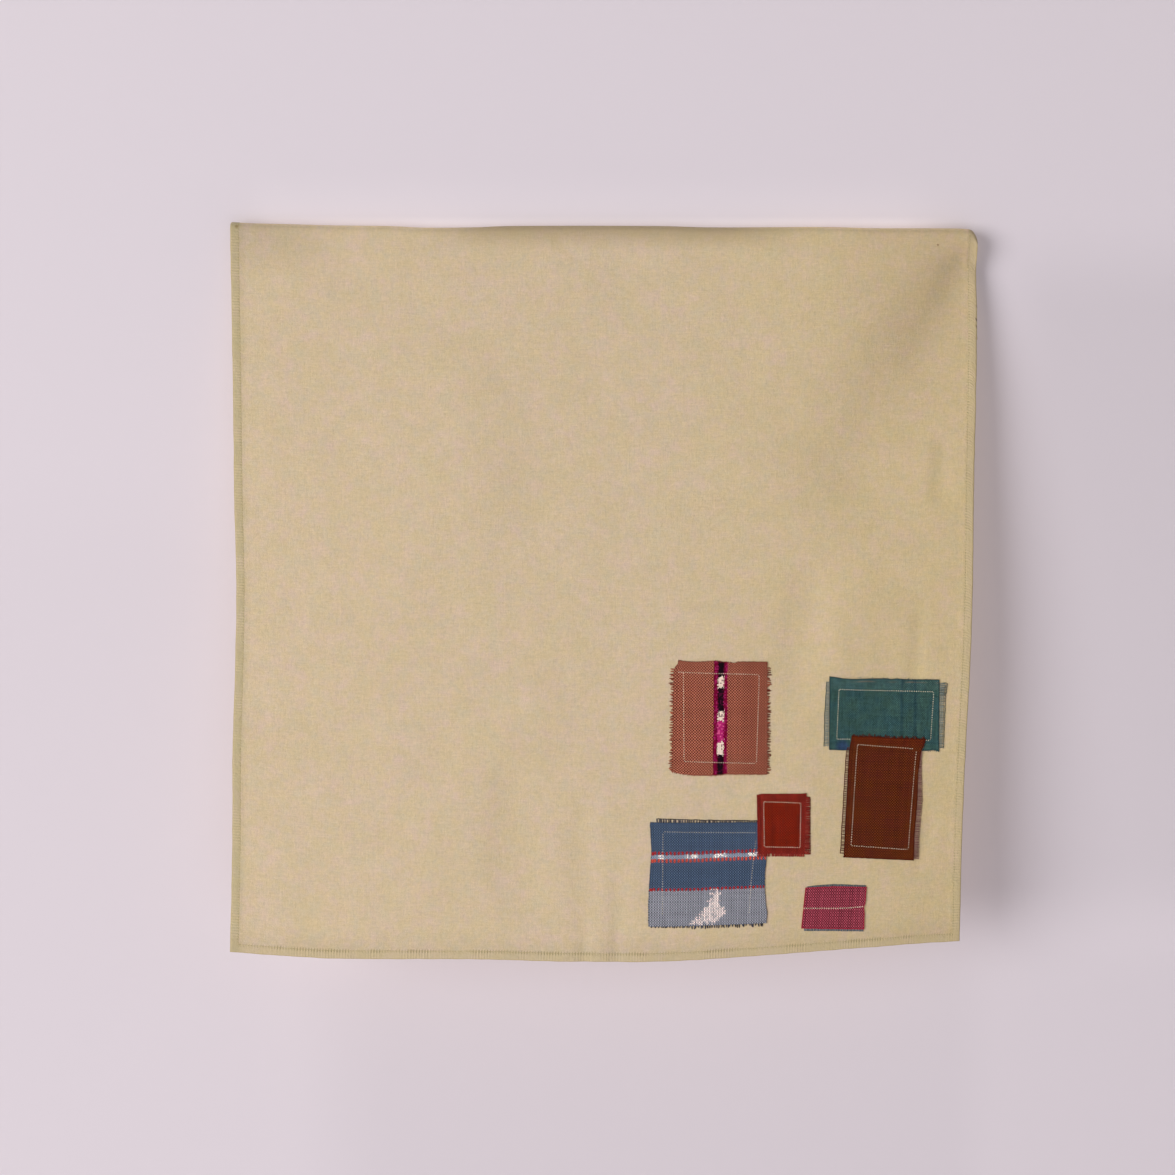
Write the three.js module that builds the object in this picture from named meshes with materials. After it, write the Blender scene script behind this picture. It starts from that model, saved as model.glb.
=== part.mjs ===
// A furoshiki: a wrapping cloth of plain-weave beige cotton. It hangs from a soft fold along its top,
// with the folded-over end behind. Six frayed scraps are sewn on its front, towards the lower right.
// Millimetres, +Z up, and the front faces -Y. The origin is the middle of the fold, on its underside.

import * as THREE from "three";

// Driving dimensions
const clothWidth = 700;
const frontDrop = 682; // from the fold down to the bottom hem
const backDrop = 94; // from the fold down to the hem of the end behind
const clothThickness = 1.2;
const foldRadius = 6; // inside the fold
const hemWidth = 7.5;
const hemThickness = 2.2; // three layers, turned to the inside
const hemStep = 1.5; // where the hem's thickness runs out
const patchThickness = 1;
const patchGap = 0.5; // between a scrap and what it is sewn to
const liftMargin = 5; // how far past a covered scrap's edge the scrap over it stays lifted
const liftRamp = 8; // and how far it takes to come down again
const backNarrowing = 3; // how much nearer the front the hem behind hangs

const halfWidth = clothWidth / 2;
const outerRadius = foldRadius + clothThickness;
const foldLength = Math.PI * outerRadius;
const fullLength = backDrop + foldLength + frontDrop;

// The fold's top line: how far it rises above its middle
const topLine = [
  { across: -350, rise: 3.7 },
  { across: -330, rise: 2.6 },
  { across: -300, rise: 1.9 },
  { across: -250, rise: 0.6 },
  { across: -200, rise: 0 },
  { across: -170, rise: -1.5 },
  { across: -120, rise: -1.2 },
  { across: -90, rise: 0 },
  { across: 50, rise: 0 },
  { across: 100, rise: -1.3 },
  { across: 210, rise: -0.9 },
  { across: 250, rise: -2 },
  { across: 320, rise: -2.2 },
  { across: 340, rise: -2.8 },
  { across: 346, rise: -4.6 },
  { across: 350, rise: -11 },
];

// The two lower edges: how far each hangs below the origin
const hemLine = [
  { across: -350, front: 680, behind: 98 },
  { across: -300, front: 683.5, behind: 99 },
  { across: -255, front: 686, behind: 98 },
  { across: -115, front: 686.5, behind: 97 },
  { across: -45, front: 688.5, behind: 98 },
  { across: 50, front: 689, behind: 100 },
  { across: 120, front: 685.7, behind: 99 },
  { across: 213, front: 680.4, behind: 99 },
  { across: 307, front: 675.4, behind: 102 },
  { across: 350, front: 674, behind: 104 },
];

// The side edges of the front: how far each draws in, and how far it hangs back.
// reach is how far in from the right edge the cloth begins to turn back.
const sideLine = [
  { down: 0, leftIn: 0, leftBack: 0, rightIn: 0, rightBack: 0, reach: 180 },
  { down: 70, leftIn: 0.9, leftBack: 1, rightIn: -1, rightBack: 3, reach: 190 },
  { down: 140, leftIn: 2, leftBack: 2, rightIn: 0.3, rightBack: 5, reach: 210 },
  { down: 257, leftIn: 3.2, leftBack: 4, rightIn: 2.4, rightBack: 7, reach: 240 },
  { down: 340, leftIn: 5, leftBack: 5, rightIn: 3.1, rightBack: 9, reach: 270 },
  { down: 400, leftIn: 4, leftBack: 5, rightIn: 4.6, rightBack: 11, reach: 300 },
  { down: 490, leftIn: 1.7, leftBack: 4, rightIn: 8.2, rightBack: 16, reach: 330 },
  { down: 584, leftIn: 1.3, leftBack: 3, rightIn: 10.9, rightBack: 22, reach: 350 },
  { down: 682, leftIn: -0.5, leftBack: 2, rightIn: 12, rightBack: 28, reach: 360 },
];
const leftReach = 220;
const behindSlant = 3; // how far the end behind swings out past the right edge at its hem

// The main folds of the front, each along a soft line between two places on the cloth, [across, down].
// A minus depth is a ridge. leftHalf and rightHalf are the half widths on its two sides at its lower
// end, and startShare is the share of them at its upper end.
const folds = [
  // from the right end of the top fold down to the left
  fold([388, -40], [246, 212], { leftHalf: 88, rightHalf: 100, startShare: 0.42, depths: [10, 5.5] }),
  // between the salmon and the teal scraps, and near the right edge
  fold([192, 332], [184, 412], { leftHalf: 36, rightHalf: 44, startShare: 0.8, depths: [1.2, 1.6] }),
  fold([232, 350], [192, 520], { leftHalf: 40, rightHalf: 60, startShare: 0.9, depths: [-1, -1] }),
  fold([320, 200], [319, 246], { leftHalf: 17, rightHalf: 26, startShare: 0.8, depths: [1.5, 1.5] }),
  // down to the bottom hem
  fold([-88, 520], [-86, 610], { leftHalf: 34, rightHalf: 48, startShare: 0.8, depths: [1.2, 1.2] }),
  fold([-20, 540], [-18, 690], { leftHalf: 24, rightHalf: 28, startShare: 0.7, depths: [0.7, 0.8] }),
  fold([14, 600], [12, 690], { leftHalf: 20, rightHalf: 24, startShare: 0.6, depths: [0.6, 0.8] }),
  // broad swells
  fold([-118, 180], [-122, 262], { leftHalf: 130, rightHalf: 60, startShare: 1, depths: [-1.6, -1.6] }),
  fold([-70, 445], [-180, 600], { leftHalf: 50, rightHalf: 60, startShare: 1, depths: [-1.2, -1.2] }),
];
const foldTurn = 60; // a fold's left half width turns into its right one over this
const foldFade = 25; // the folds die out this near the top

// The lattice that the cloth's solid is cut into, finer where the folds are
const coarseEnd = -60;
const coarseColumns = 12;
const fineColumns = 24;
const behindRows = 4;
const foldRows = 6;
const frontRows = 30;

// The scraps, by their corners on the cloth as [across, down], frayed edges included.
// cell is the size of their facets, and over names the scrap that one is sewn on top of.
const patches = [
  {
    name: "patch_salmon",
    color: "#b0674d",
    cell: 14,
    topLeft: [61, 400],
    topRight: [159, 403],
    bottomRight: [160, 512],
    bottomLeft: [61.5, 507.5],
  },
  {
    name: "patch_teal",
    color: "#437472",
    cell: 14,
    topLeft: [209, 421.6],
    topRight: [328, 426.1],
    bottomRight: [327.5, 496.1],
    bottomLeft: [210, 490.1],
  },
  {
    name: "patch_brown",
    color: "#6a3a2c",
    cell: 6.4,
    over: "patch_teal",
    topLeft: [231.5, 476.4],
    topRight: [307, 482.9],
    bottomRight: [307.5, 600.9],
    bottomLeft: [226.5, 593.4],
  },
  {
    name: "patch_blue",
    color: "#44608a",
    cell: 14,
    topLeft: [43, 549.5],
    topRight: [155, 556],
    bottomRight: [155.5, 653.5],
    bottomLeft: [41.5, 651.5],
  },
  {
    name: "patch_red",
    color: "#93352d",
    cell: 6.4,
    over: "patch_blue",
    topLeft: [144, 527.9],
    topRight: [197, 531.4],
    bottomRight: [197, 591.4],
    bottomLeft: [145.5, 587.4],
  },
  {
    name: "patch_magenta",
    color: "#a8386b",
    cell: 14,
    topLeft: [191.5, 617.8],
    topRight: [254, 621.3],
    bottomRight: [251.5, 666.8],
    bottomLeft: [188.5, 661.3],
  },
];

function fold(from, to, widthsAndDepths) {
  const start = new THREE.Vector2(...from);
  return { start, line: new THREE.Vector2(...to).sub(start), ...widthsAndDepths };
}

const smooth = (t) => THREE.MathUtils.smoothstep(t, 0, 1);

// Reads one column of a table between its rows, on a smooth curve through them.
function readTable(rows, placeName, valueName, place) {
  const last = rows.length - 1;
  const held = THREE.MathUtils.clamp(place, rows[0][placeName], rows[last][placeName]);
  const next = Math.max(1, rows.findIndex((row) => held <= row[placeName]));
  const slopeAt = (index) => {
    const before = rows[Math.max(index - 1, 0)];
    const after = rows[Math.min(index + 1, last)];
    return (after[valueName] - before[valueName]) / (after[placeName] - before[placeName]);
  };
  const from = rows[next - 1];
  const to = rows[next];
  const span = to[placeName] - from[placeName];
  const t = (held - from[placeName]) / span;
  const rise = to[valueName] - from[valueName];
  const startBend = slopeAt(next - 1) * span - rise;
  const endBend = rise - slopeAt(next) * span;
  const straight = from[valueName] + rise * t;
  return straight + t * (1 - t) * (startBend * (1 - t) + endBend * t);
}

// How far the front hangs back from a flat sheet, at a place on it.
function setBack(across, down) {
  const edge = (name) => readTable(sideLine, "down", name, down);
  const intoRight = THREE.MathUtils.clamp((across - halfWidth) / edge("reach") + 1, 0, 1);
  const intoLeft = THREE.MathUtils.clamp(1 - (across + halfWidth) / leftReach, 0, 1);
  const sides = edge("rightBack") * intoRight ** 2 + edge("leftBack") * intoLeft ** 2;
  return sides + smooth(down / foldFade) * foldDepth(across, down);
}

// What the folds add to that. t is how far down a fold's line a place lies, and aside how far right of it.
function foldDepth(across, down) {
  const place = new THREE.Vector2(across, down);
  let depth = 0;
  for (const { start, line, leftHalf, rightHalf, startShare, depths } of folds) {
    const offset = place.clone().sub(start);
    const t = THREE.MathUtils.clamp(offset.dot(line) / line.lengthSq(), 0, 1);
    const aside = -line.clone().normalize().cross(offset);
    const fullHalf = THREE.MathUtils.lerp(leftHalf, rightHalf, smooth(aside / foldTurn + 0.5));
    const half = fullHalf * THREE.MathUtils.lerp(startShare, 1, t);
    const apart = offset.addScaledVector(line, -t).length() / half;
    const deep = THREE.MathUtils.lerp(...depths, t);
    if (apart < 1) depth += deep * Math.cos((apart * Math.PI) / 2) ** 2;
  }
  return depth;
}

// The cloth's outer side, by places on the cloth: across it, and along it from the hem behind,
// up over the fold and down to the front hem.
function clothFace(across, along) {
  const foldTop = clothThickness + readTable(topLine, "across", "rise", across);
  const foldSpring = foldTop - outerRadius;
  const share = across / halfWidth;
  if (along < backDrop) {
    const down = backDrop - along;
    const low = -readTable(hemLine, "across", "behind", across);
    const t = down / backDrop;
    const slant = behindSlant * t * Math.max(share, 0);
    const y = outerRadius + setBack(across, down) - backNarrowing * t;
    return new THREE.Vector3(across + slant, y, THREE.MathUtils.lerp(foldSpring, low, t));
  }
  if (along < backDrop + foldLength) {
    const turn = (along - backDrop) / outerRadius;
    const y = outerRadius * Math.cos(turn);
    return new THREE.Vector3(across, y, foldSpring + outerRadius * Math.sin(turn));
  }
  const down = along - backDrop - foldLength;
  const low = -readTable(hemLine, "across", "front", across);
  const drawIn = readTable(sideLine, "down", share > 0 ? "rightIn" : "leftIn", down);
  return new THREE.Vector3(
    across - drawIn * share * Math.abs(share),
    setBack(across, down) - outerRadius,
    THREE.MathUtils.lerp(foldSpring, low, down / frontDrop),
  );
}

// The direction that the cloth's outer side faces, at a place on it.
function clothFacing(across, along) {
  const nudge = 0.5;
  const width = clothFace(across + nudge, along).sub(clothFace(across - nudge, along));
  const length = clothFace(across, along + nudge).sub(clothFace(across, along - nudge));
  return length.cross(width).normalize();
}

function clothPoint(across, along, outward) {
  return clothFace(across, along).addScaledVector(clothFacing(across, along), outward);
}

function thicknessAt(across, along) {
  const fromSide = halfWidth - Math.abs(across);
  const fromEdge = Math.min(fromSide, along, fullLength - along);
  const t = smooth((fromEdge - hemWidth) / hemStep);
  return THREE.MathUtils.lerp(hemThickness, clothThickness, t);
}

// A closed solid between two lattices of points, the outer side and the inner side of a sheet.
function sheetGeometry(outer, inner) {
  const rows = outer.length;
  const columns = outer[0].length;
  const outerAt = (row, column) => row * columns + column;
  const innerAt = (row, column) => rows * columns + outerAt(row, column);
  const triangles = [];
  const quad = (a, b, c, d) => triangles.push(a, b, c, a, c, d);
  for (let row = 0; row < rows - 1; row++) {
    for (let column = 0; column < columns - 1; column++) {
      const corners = [[row + 1, column], [row + 1, column + 1], [row, column + 1], [row, column]];
      quad(...corners.map(([r, c]) => outerAt(r, c)));
      quad(...corners.reverse().map(([r, c]) => innerAt(r, c)));
    }
  }
  const rim = [];
  for (let row = 0; row < rows - 1; row++) rim.push([row, 0]);
  for (let column = 0; column < columns - 1; column++) rim.push([rows - 1, column]);
  for (let row = rows - 1; row > 0; row--) rim.push([row, columns - 1]);
  for (let column = columns - 1; column > 0; column--) rim.push([0, column]);
  rim.forEach((here, index) => {
    const next = rim[(index + 1) % rim.length];
    quad(outerAt(...next), outerAt(...here), innerAt(...here), innerAt(...next));
  });
  const geometry = new THREE.BufferGeometry().setFromPoints([...outer.flat(), ...inner.flat()]);
  geometry.setIndex(triangles);
  geometry.computeVertexNormals();
  return geometry;
}

function evenStops(from, to, cells) {
  return Array.from({ length: cells + 1 }, (_, index) => from + ((to - from) * index) / cells);
}

function makeCloth() {
  const hemEnd = hemWidth + hemStep;
  const acrossStops = [
    -halfWidth,
    hemWidth - halfWidth,
    ...evenStops(hemEnd - halfWidth, coarseEnd, coarseColumns).slice(0, -1),
    ...evenStops(coarseEnd, halfWidth - hemEnd, fineColumns),
    halfWidth - hemWidth,
    halfWidth,
  ];
  const foldEnd = backDrop + foldLength;
  const alongStops = [
    0,
    hemWidth,
    ...evenStops(hemEnd, backDrop, behindRows).slice(0, -1),
    ...evenStops(backDrop, foldEnd, foldRows).slice(0, -1),
    ...evenStops(foldEnd, fullLength - hemEnd, frontRows),
    fullLength - hemWidth,
    fullLength,
  ];
  const side = (outwardAt) =>
    alongStops.map((along) =>
      acrossStops.map((across) => clothPoint(across, along, outwardAt(across, along))),
    );
  return sheetGeometry(side(() => 0), side((across, along) => -thicknessAt(across, along)));
}

const cornersOf = (patch) =>
  [patch.topLeft, patch.topRight, patch.bottomRight, patch.bottomLeft].map(
    (corner) => new THREE.Vector2(...corner),
  );

// How far a place on the cloth lies outside a scrap's edge, or with a minus sign how far inside.
function distanceOutside(patch, across, down) {
  const ring = cornersOf(patch);
  const place = new THREE.Vector2(across, down);
  const distances = ring.map((corner, index) => {
    const edge = ring[(index + 1) % ring.length].clone().sub(corner).normalize();
    return -edge.cross(place.clone().sub(corner));
  });
  return Math.max(...distances);
}

// How much higher a scrap lies at a place because of the scrap under it.
function liftAt(patch, across, down) {
  if (!patch.over) return 0;
  const under = patches.find((other) => other.name === patch.over);
  const t = smooth((distanceOutside(under, across, down) - liftMargin) / liftRamp);
  return (patchThickness + patchGap) * (1 - t);
}

function makePatch(patch) {
  const [topLeft, topRight, bottomRight, bottomLeft] = cornersOf(patch);
  const columns = Math.round(topLeft.distanceTo(topRight) / patch.cell);
  const rows = Math.round(topLeft.distanceTo(bottomLeft) / patch.cell);
  const side = (outward) =>
    evenStops(0, 1, rows).map((v) =>
      evenStops(0, 1, columns).map((u) => {
        const top = topLeft.clone().lerp(topRight, u);
        const place = top.lerp(bottomLeft.clone().lerp(bottomRight, u), v);
        const height = patchGap + liftAt(patch, place.x, place.y) + outward;
        return clothPoint(place.x, backDrop + foldLength + place.y, height);
      }),
    );
  return sheetGeometry(side(patchThickness), side(0));
}

function addPiece(name, geometry, color, roughness) {
  const piece = new THREE.Mesh(geometry, new THREE.MeshStandardMaterial({ color, roughness, metalness: 0 }));
  piece.name = name;
  group.add(piece);
}

const group = new THREE.Group();
addPiece("cloth", makeCloth(), "#c9b28b", 0.9);
for (const patch of patches) addPiece(patch.name, makePatch(patch), patch.color, 0.85);

export default group;
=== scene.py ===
import math
import random

import bpy
import numpy as np
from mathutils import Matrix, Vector, noise


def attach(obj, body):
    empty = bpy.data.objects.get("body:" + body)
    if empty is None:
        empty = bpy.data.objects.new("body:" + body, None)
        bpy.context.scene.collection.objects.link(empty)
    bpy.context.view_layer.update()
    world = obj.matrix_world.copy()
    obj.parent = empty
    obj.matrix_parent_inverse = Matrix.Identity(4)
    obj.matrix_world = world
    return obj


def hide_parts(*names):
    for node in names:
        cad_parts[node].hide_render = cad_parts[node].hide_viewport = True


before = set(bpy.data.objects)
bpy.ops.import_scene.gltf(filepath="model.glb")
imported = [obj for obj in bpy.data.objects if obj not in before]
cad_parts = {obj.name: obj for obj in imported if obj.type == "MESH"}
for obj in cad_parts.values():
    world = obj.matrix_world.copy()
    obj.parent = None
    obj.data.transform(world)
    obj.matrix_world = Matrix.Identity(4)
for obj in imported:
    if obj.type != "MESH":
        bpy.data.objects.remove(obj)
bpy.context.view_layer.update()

# A furoshiki of beige cotton, hung over a soft fold, with six frayed scraps sewn on its front.
# Places on the cloth are (across, down) in millimetres, down from the fold. clothPoint turns them to metres.
print("cloth: its hang")

hang = {
    "width": 700,
    "frontDrop": 682,
    "backDrop": 94,
    "foldRadius": 7.2,  # outside the fold
    "crest": 1.2,  # the fold's top lies this far above the height that things are measured from
    "foldFade": 25,  # the folds die out this near the top
    "leftReach": 220,
    "backNarrowing": 3,
    "behindSlant": 3,
}
halfWidth = hang["width"] / 2
frontStart = hang["backDrop"] + math.pi * hang["foldRadius"]  # along the cloth, from the hem behind
fullLength = frontStart + hang["frontDrop"]

topLine = {
    "across": [-350, -330, -300, -250, -200, -170, -120, -90, 50, 100, 210, 250, 320, 340, 346, 350],
    "rise": [3.7, 2.6, 1.9, 0.6, 0, -1.5, -1.2, 0, 0, -1.3, -0.9, -2, -2.2, -2.8, -4.6, -11],
}
hemLine = {
    "across": [-350, -300, -255, -115, -45, 50, 120, 213, 307, 350],
    "front": [680, 683.5, 686, 686.5, 688.5, 689, 685.7, 680.4, 675.4, 674],
    "behind": [98, 99, 98, 97, 98, 100, 99, 99, 102, 104],
}
sideLine = {
    "down": [0, 70, 140, 257, 340, 400, 490, 584, 682],
    "leftIn": [0, 0.9, 2, 3.2, 5, 4, 1.7, 1.3, -0.5],
    "leftBack": [0, 1, 2, 4, 5, 5, 4, 3, 2],
    "rightIn": [0, -1, 0.3, 2.4, 3.1, 4.6, 8.2, 10.9, 12],
    "rightBack": [0, 3, 5, 7, 9, 11, 16, 22, 28],
    "reach": [180, 190, 210, 240, 270, 300, 330, 350, 360],
}

# Each fold runs down a soft line: start, end, half widths to its left and right, their share at the start,
# and the depths at both ends, where a minus depth is a ridge.
foldTurn = 60  # the left half width turns into the right one over this
foldColumns = ("start", "end", "leftHalf", "rightHalf", "startShare", "startDepth", "endDepth")
mainFolds = [
    ((388, -40), (246, 212), 88, 100, 0.42, 10, 5.5),
    ((192, 332), (184, 412), 36, 44, 0.8, 1.2, 1.6),
    ((232, 350), (192, 520), 40, 60, 0.9, -1, -1),
    ((-88, 520), (-86, 610), 34, 48, 0.8, 1.2, 1.2),
    ((-20, 540), (-18, 690), 24, 28, 0.7, 0.7, 0.8),
    ((14, 600), (12, 690), 20, 24, 0.6, 0.6, 0.8),
    ((320, 200), (319, 246), 17, 26, 0.8, 1.5, 1.5),
    ((-118, 180), (-122, 262), 130, 60, 1, -1.6, -1.6),
    ((-70, 445), (-180, 600), 50, 60, 1, -1.2, -1.2),
]
fineCreases = [
    ((-150, 322), (-150, 345), 40, 40, 1, 0.7, 0.7),
    ((300, 366), (296, 424), 13, 16, 0.8, 0.9, 1.2),
    ((-52, 0), (-22, 26), 6, 6, 1, 0.7, 0.4),
    ((316, 360), (340, 376), 7, 7, 1, 0.3, 0.5),
    ((-343, 398), (-318, 406), 7, 7, 1, 0.5, 0.3),
    ((-18, 640), (-18, 682), 7, 7, 1, 0.4, 1),
    ((12, 640), (12, 682), 6, 6, 1, 0.4, 1),
    ((318, 560), (306, 610), 10, 12, 1, 0.8, 0.8),
    ((352, 4), (292, 120), 26, 34, 0.8, 1.8, 0.8),
]
surface = {
    "creaseFade": 8,
    "swells": [(62, 0.7, 3.7), (23, 0.1, 8.1)],  # size, depth and seed
}


def smooth(t):
    t = np.clip(t, 0, 1)
    return t * t * (3 - 2 * t)


def readTable(table, placeName, valueName, place):
    # a smooth curve through a table's rows, as the solids have it
    places = np.array(table[placeName], float)
    values = np.array(table[valueName], float)
    held = np.clip(place, places[0], places[-1])
    after = np.clip(np.searchsorted(places, held), 1, len(places) - 1)
    before = after - 1
    rows = np.arange(len(places))
    low, high = np.maximum(rows - 1, 0), np.minimum(rows + 1, len(places) - 1)
    slopes = (values[high] - values[low]) / (places[high] - places[low])
    span = places[after] - places[before]
    t = (held - places[before]) / span
    rise = values[after] - values[before]
    startBend = slopes[before] * span - rise
    endBend = rise - slopes[after] * span
    return values[before] + rise * t + t * (1 - t) * (startBend * (1 - t) + endBend * t)


def foldDepth(folds, across, down):
    depth = np.zeros_like(across)
    for row in folds:
        fold = dict(zip(foldColumns, row))
        lineX = fold["end"][0] - fold["start"][0]
        lineY = fold["end"][1] - fold["start"][1]
        length = math.hypot(lineX, lineY)
        offX, offY = across - fold["start"][0], down - fold["start"][1]
        t = np.clip((offX * lineX + offY * lineY) / length**2, 0, 1)
        aside = (lineY * offX - lineX * offY) / length
        rightness = smooth(aside / foldTurn + 0.5)
        half = fold["leftHalf"] + (fold["rightHalf"] - fold["leftHalf"]) * rightness
        half = half * (fold["startShare"] + (1 - fold["startShare"]) * t)
        apart = np.hypot(offX - t * lineX, offY - t * lineY) / half
        deep = fold["startDepth"] + (fold["endDepth"] - fold["startDepth"]) * t
        depth += np.where(apart < 1, deep * np.cos(apart * math.pi / 2) ** 2, 0)
    return depth


def swells(across, down, size, seed):
    flat = zip(across.ravel() / size, down.ravel() / size)
    return np.array([noise.noise((x, y, seed)) for x, y in flat]).reshape(across.shape)


def setBack(across, down):
    edge = {name: readTable(sideLine, "down", name, down) for name in ("rightBack", "leftBack", "reach")}
    intoRight = np.clip((across - halfWidth) / edge["reach"] + 1, 0, 1)
    intoLeft = np.clip(1 - (across + halfWidth) / hang["leftReach"], 0, 1)
    sides = edge["rightBack"] * intoRight**2 + edge["leftBack"] * intoLeft**2
    return sides + smooth(down / hang["foldFade"]) * foldDepth(mainFolds, across, down)


def fineRelief(across, down):
    # creases and a slight unevenness too fine for the solid
    uneven = sum(depth * swells(across, down, size, seed) for size, depth, seed in surface["swells"])
    creases = smooth(down / surface["creaseFade"]) * foldDepth(fineCreases, across, down)
    return creases + smooth(down / hang["foldFade"]) * uneven


def clothFace(across, along):
    # the cloth's outer side in millimetres: up from the hem behind, over the fold, down to the front hem
    radius = hang["foldRadius"]
    spring = hang["crest"] - radius + readTable(topLine, "across", "rise", across)
    share = across / halfWidth
    behind = along < hang["backDrop"]
    front = along >= frontStart

    downBehind = hang["backDrop"] - along
    t = downBehind / hang["backDrop"]
    behindX = across + hang["behindSlant"] * t * np.maximum(share, 0)
    behindY = radius + setBack(across, downBehind) - hang["backNarrowing"] * t
    behindZ = spring * (1 - t) - readTable(hemLine, "across", "behind", across) * t

    turn = (along - hang["backDrop"]) / radius
    foldY, foldZ = radius * np.cos(turn), spring + radius * np.sin(turn)

    down = np.where(front, along - frontStart, 0)
    rightIn = readTable(sideLine, "down", "rightIn", down)
    drawIn = np.where(share > 0, rightIn, readTable(sideLine, "down", "leftIn", down))
    t = down / hang["frontDrop"]
    frontX = across - drawIn * share * np.abs(share)
    frontY = setBack(across, down) + fineRelief(across, down) - radius
    frontZ = spring * (1 - t) - readTable(hemLine, "across", "front", across) * t

    x = np.where(behind, behindX, np.where(front, frontX, across))
    y = np.where(behind, behindY, np.where(front, frontY, foldY))
    z = np.where(behind, behindZ, np.where(front, frontZ, foldZ))
    return np.stack([x, y, z], -1)


def clothPoint(across, along, outward):
    # a place this far off the cloth's outer side, in metres
    across, along, outward = (np.array(a, float) for a in np.broadcast_arrays(across, along, outward))
    nudge = 0.5
    sideways = clothFace(across + nudge, along) - clothFace(across - nudge, along)
    lengthways = clothFace(across, along + nudge) - clothFace(across, along - nudge)
    facing = np.cross(lengthways, sideways)
    facing /= np.linalg.norm(facing, axis=-1, keepdims=True)
    return (clothFace(across, along) + facing * outward[..., None]) / 1000


# Nodes


def paint(red, green, blue):
    # a colour given from 0 to 255
    parts = [c / 255 for c in (red, green, blue)]
    return [c / 12.92 if c <= 0.04045 else ((c + 0.055) / 1.055) ** 2.4 for c in parts] + [1]


def grayPaint(level):
    return [level, level, level, 1]


class Wire:
    # a node's output, so that sums and products of nodes read as plain formulas
    def __init__(self, socket):
        self.socket = socket

    def __add__(self, other):
        return calc("ADD", self, other)

    def __sub__(self, other):
        return calc("SUBTRACT", self, other)

    def __rsub__(self, other):
        return calc("SUBTRACT", other, self)

    def __mul__(self, other):
        return calc("MULTIPLY", self, other)

    def __truediv__(self, other):
        return calc("DIVIDE", self, other)

    def __gt__(self, other):
        return calc("GREATER_THAN", self, other)

    def __lt__(self, other):
        return calc("LESS_THAN", self, other)

    def __abs__(self):
        return calc("ABSOLUTE", self)

    __radd__ = __add__


def treeOf(*values):
    return next(value.socket.id_data for value in values if isinstance(value, Wire))


def connect(node, inputs):
    for name, value in inputs.items():
        if isinstance(value, Wire):
            node.id_data.links.new(value.socket, node.inputs[name])
        else:
            node.inputs[name].default_value = value


def addNode(tree, kind, inputs=None, **settings):
    # gives the new node's outputs, by number and by name
    node = tree.nodes.new("ShaderNode" + kind)
    for name, value in settings.items():
        setattr(node, name, value)
    connect(node, inputs or {})
    outputs = {}
    for number, socket in enumerate(node.outputs):
        outputs[number] = outputs[socket.name] = Wire(socket)
    return outputs


def calc(operation, *values, clamp=False):
    inputs = dict(enumerate(values))
    return addNode(treeOf(*values), "Math", inputs, operation=operation, use_clamp=clamp)[0]


def mixValues(factor, first, second):
    inputs = {0: factor, 2: first, 3: second}
    return addNode(treeOf(factor, first, second), "Mix", inputs, data_type="FLOAT")[0]


def mixColors(factor, first, second, kind="MIX"):
    inputs = {0: factor, 6: first, 7: second}
    return addNode(treeOf(factor, first, second), "Mix", inputs, data_type="RGBA", blend_type=kind)[2]


def tinted(color, mask, tint):
    return mixColors(mask, color, tint, "MULTIPLY")


def shaded(color, shade):
    gray = addNode(treeOf(shade), "CombineColor", {0: shade, 1: shade, 2: shade})[0]
    return mixColors(1, color, gray, "MULTIPLY")


def fade(value, start, end):
    # 0 at start and 1 at end
    inputs = {0: value, 1: start, 2: end}
    return addNode(treeOf(value), "MapRange", inputs, interpolation_type="SMOOTHSTEP")[0]


def window(value, start, full, fading=None, gone=None):
    # 0 at start and 1 from full on; or only as far as fading, and 0 again at gone
    mask = fade(value, start, full)
    return mask if gone is None else mask * fade(value, gone, fading)


def between(value, low, high):
    return (value > low) * (value < high)


def ramp(value, stops, blend="LINEAR"):
    node = treeOf(value).nodes.new("ShaderNodeValToRGB")
    node.color_ramp.interpolation = blend
    elements = node.color_ramp.elements
    while len(elements) > 1:
        elements.remove(elements[0])
    elements[0].position, elements[0].color = stops[0]
    for position, color in stops[1:]:
        elements.new(position).color = color
    connect(node, {0: value})
    return Wire(node.outputs[0])


def split(vector):
    parts = addNode(treeOf(vector), "SeparateXYZ", {0: vector})
    return parts[0], parts[1], parts[2]


def join(x, y, z=0):
    return addNode(treeOf(x, y, z), "CombineXYZ", {0: x, 1: y, 2: z})[0]


def stretch(vector, scale):
    return addNode(treeOf(vector), "VectorMath", {0: vector, "Scale": scale}, operation="SCALE")[0]


def cloudy(place, scale, detail=1, output=0):
    # soft noise, as a value or with output 1 as a colour
    return addNode(treeOf(place), "TexNoise", {"Vector": place, "Scale": scale, "Detail": detail})[output]


def bumpFrom(height, distance, under=None):
    inputs = {"Height": height, "Distance": distance, "Strength": 1}
    if under:
        inputs["Normal"] = under
    return addNode(treeOf(height), "Bump", inputs)[0]


def newGroup(name, values):
    # a group that takes a place and these values
    group = bpy.data.node_groups.new(name, "ShaderNodeTree")
    group.interface.new_socket("Place", in_out="INPUT", socket_type="NodeSocketVector")
    for label, value in values.items():
        socket = group.interface.new_socket(label, in_out="INPUT", socket_type="NodeSocketFloat")
        socket.default_value = value
    start = group.nodes.new("NodeGroupInput")
    return group, {socket.name: Wire(socket) for socket in start.outputs}


def closeGroup(group, results):
    for label in results:
        group.interface.new_socket(label, in_out="OUTPUT", socket_type="NodeSocketFloat")
    connect(group.nodes.new("NodeGroupOutput"), results)
    return group


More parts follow.
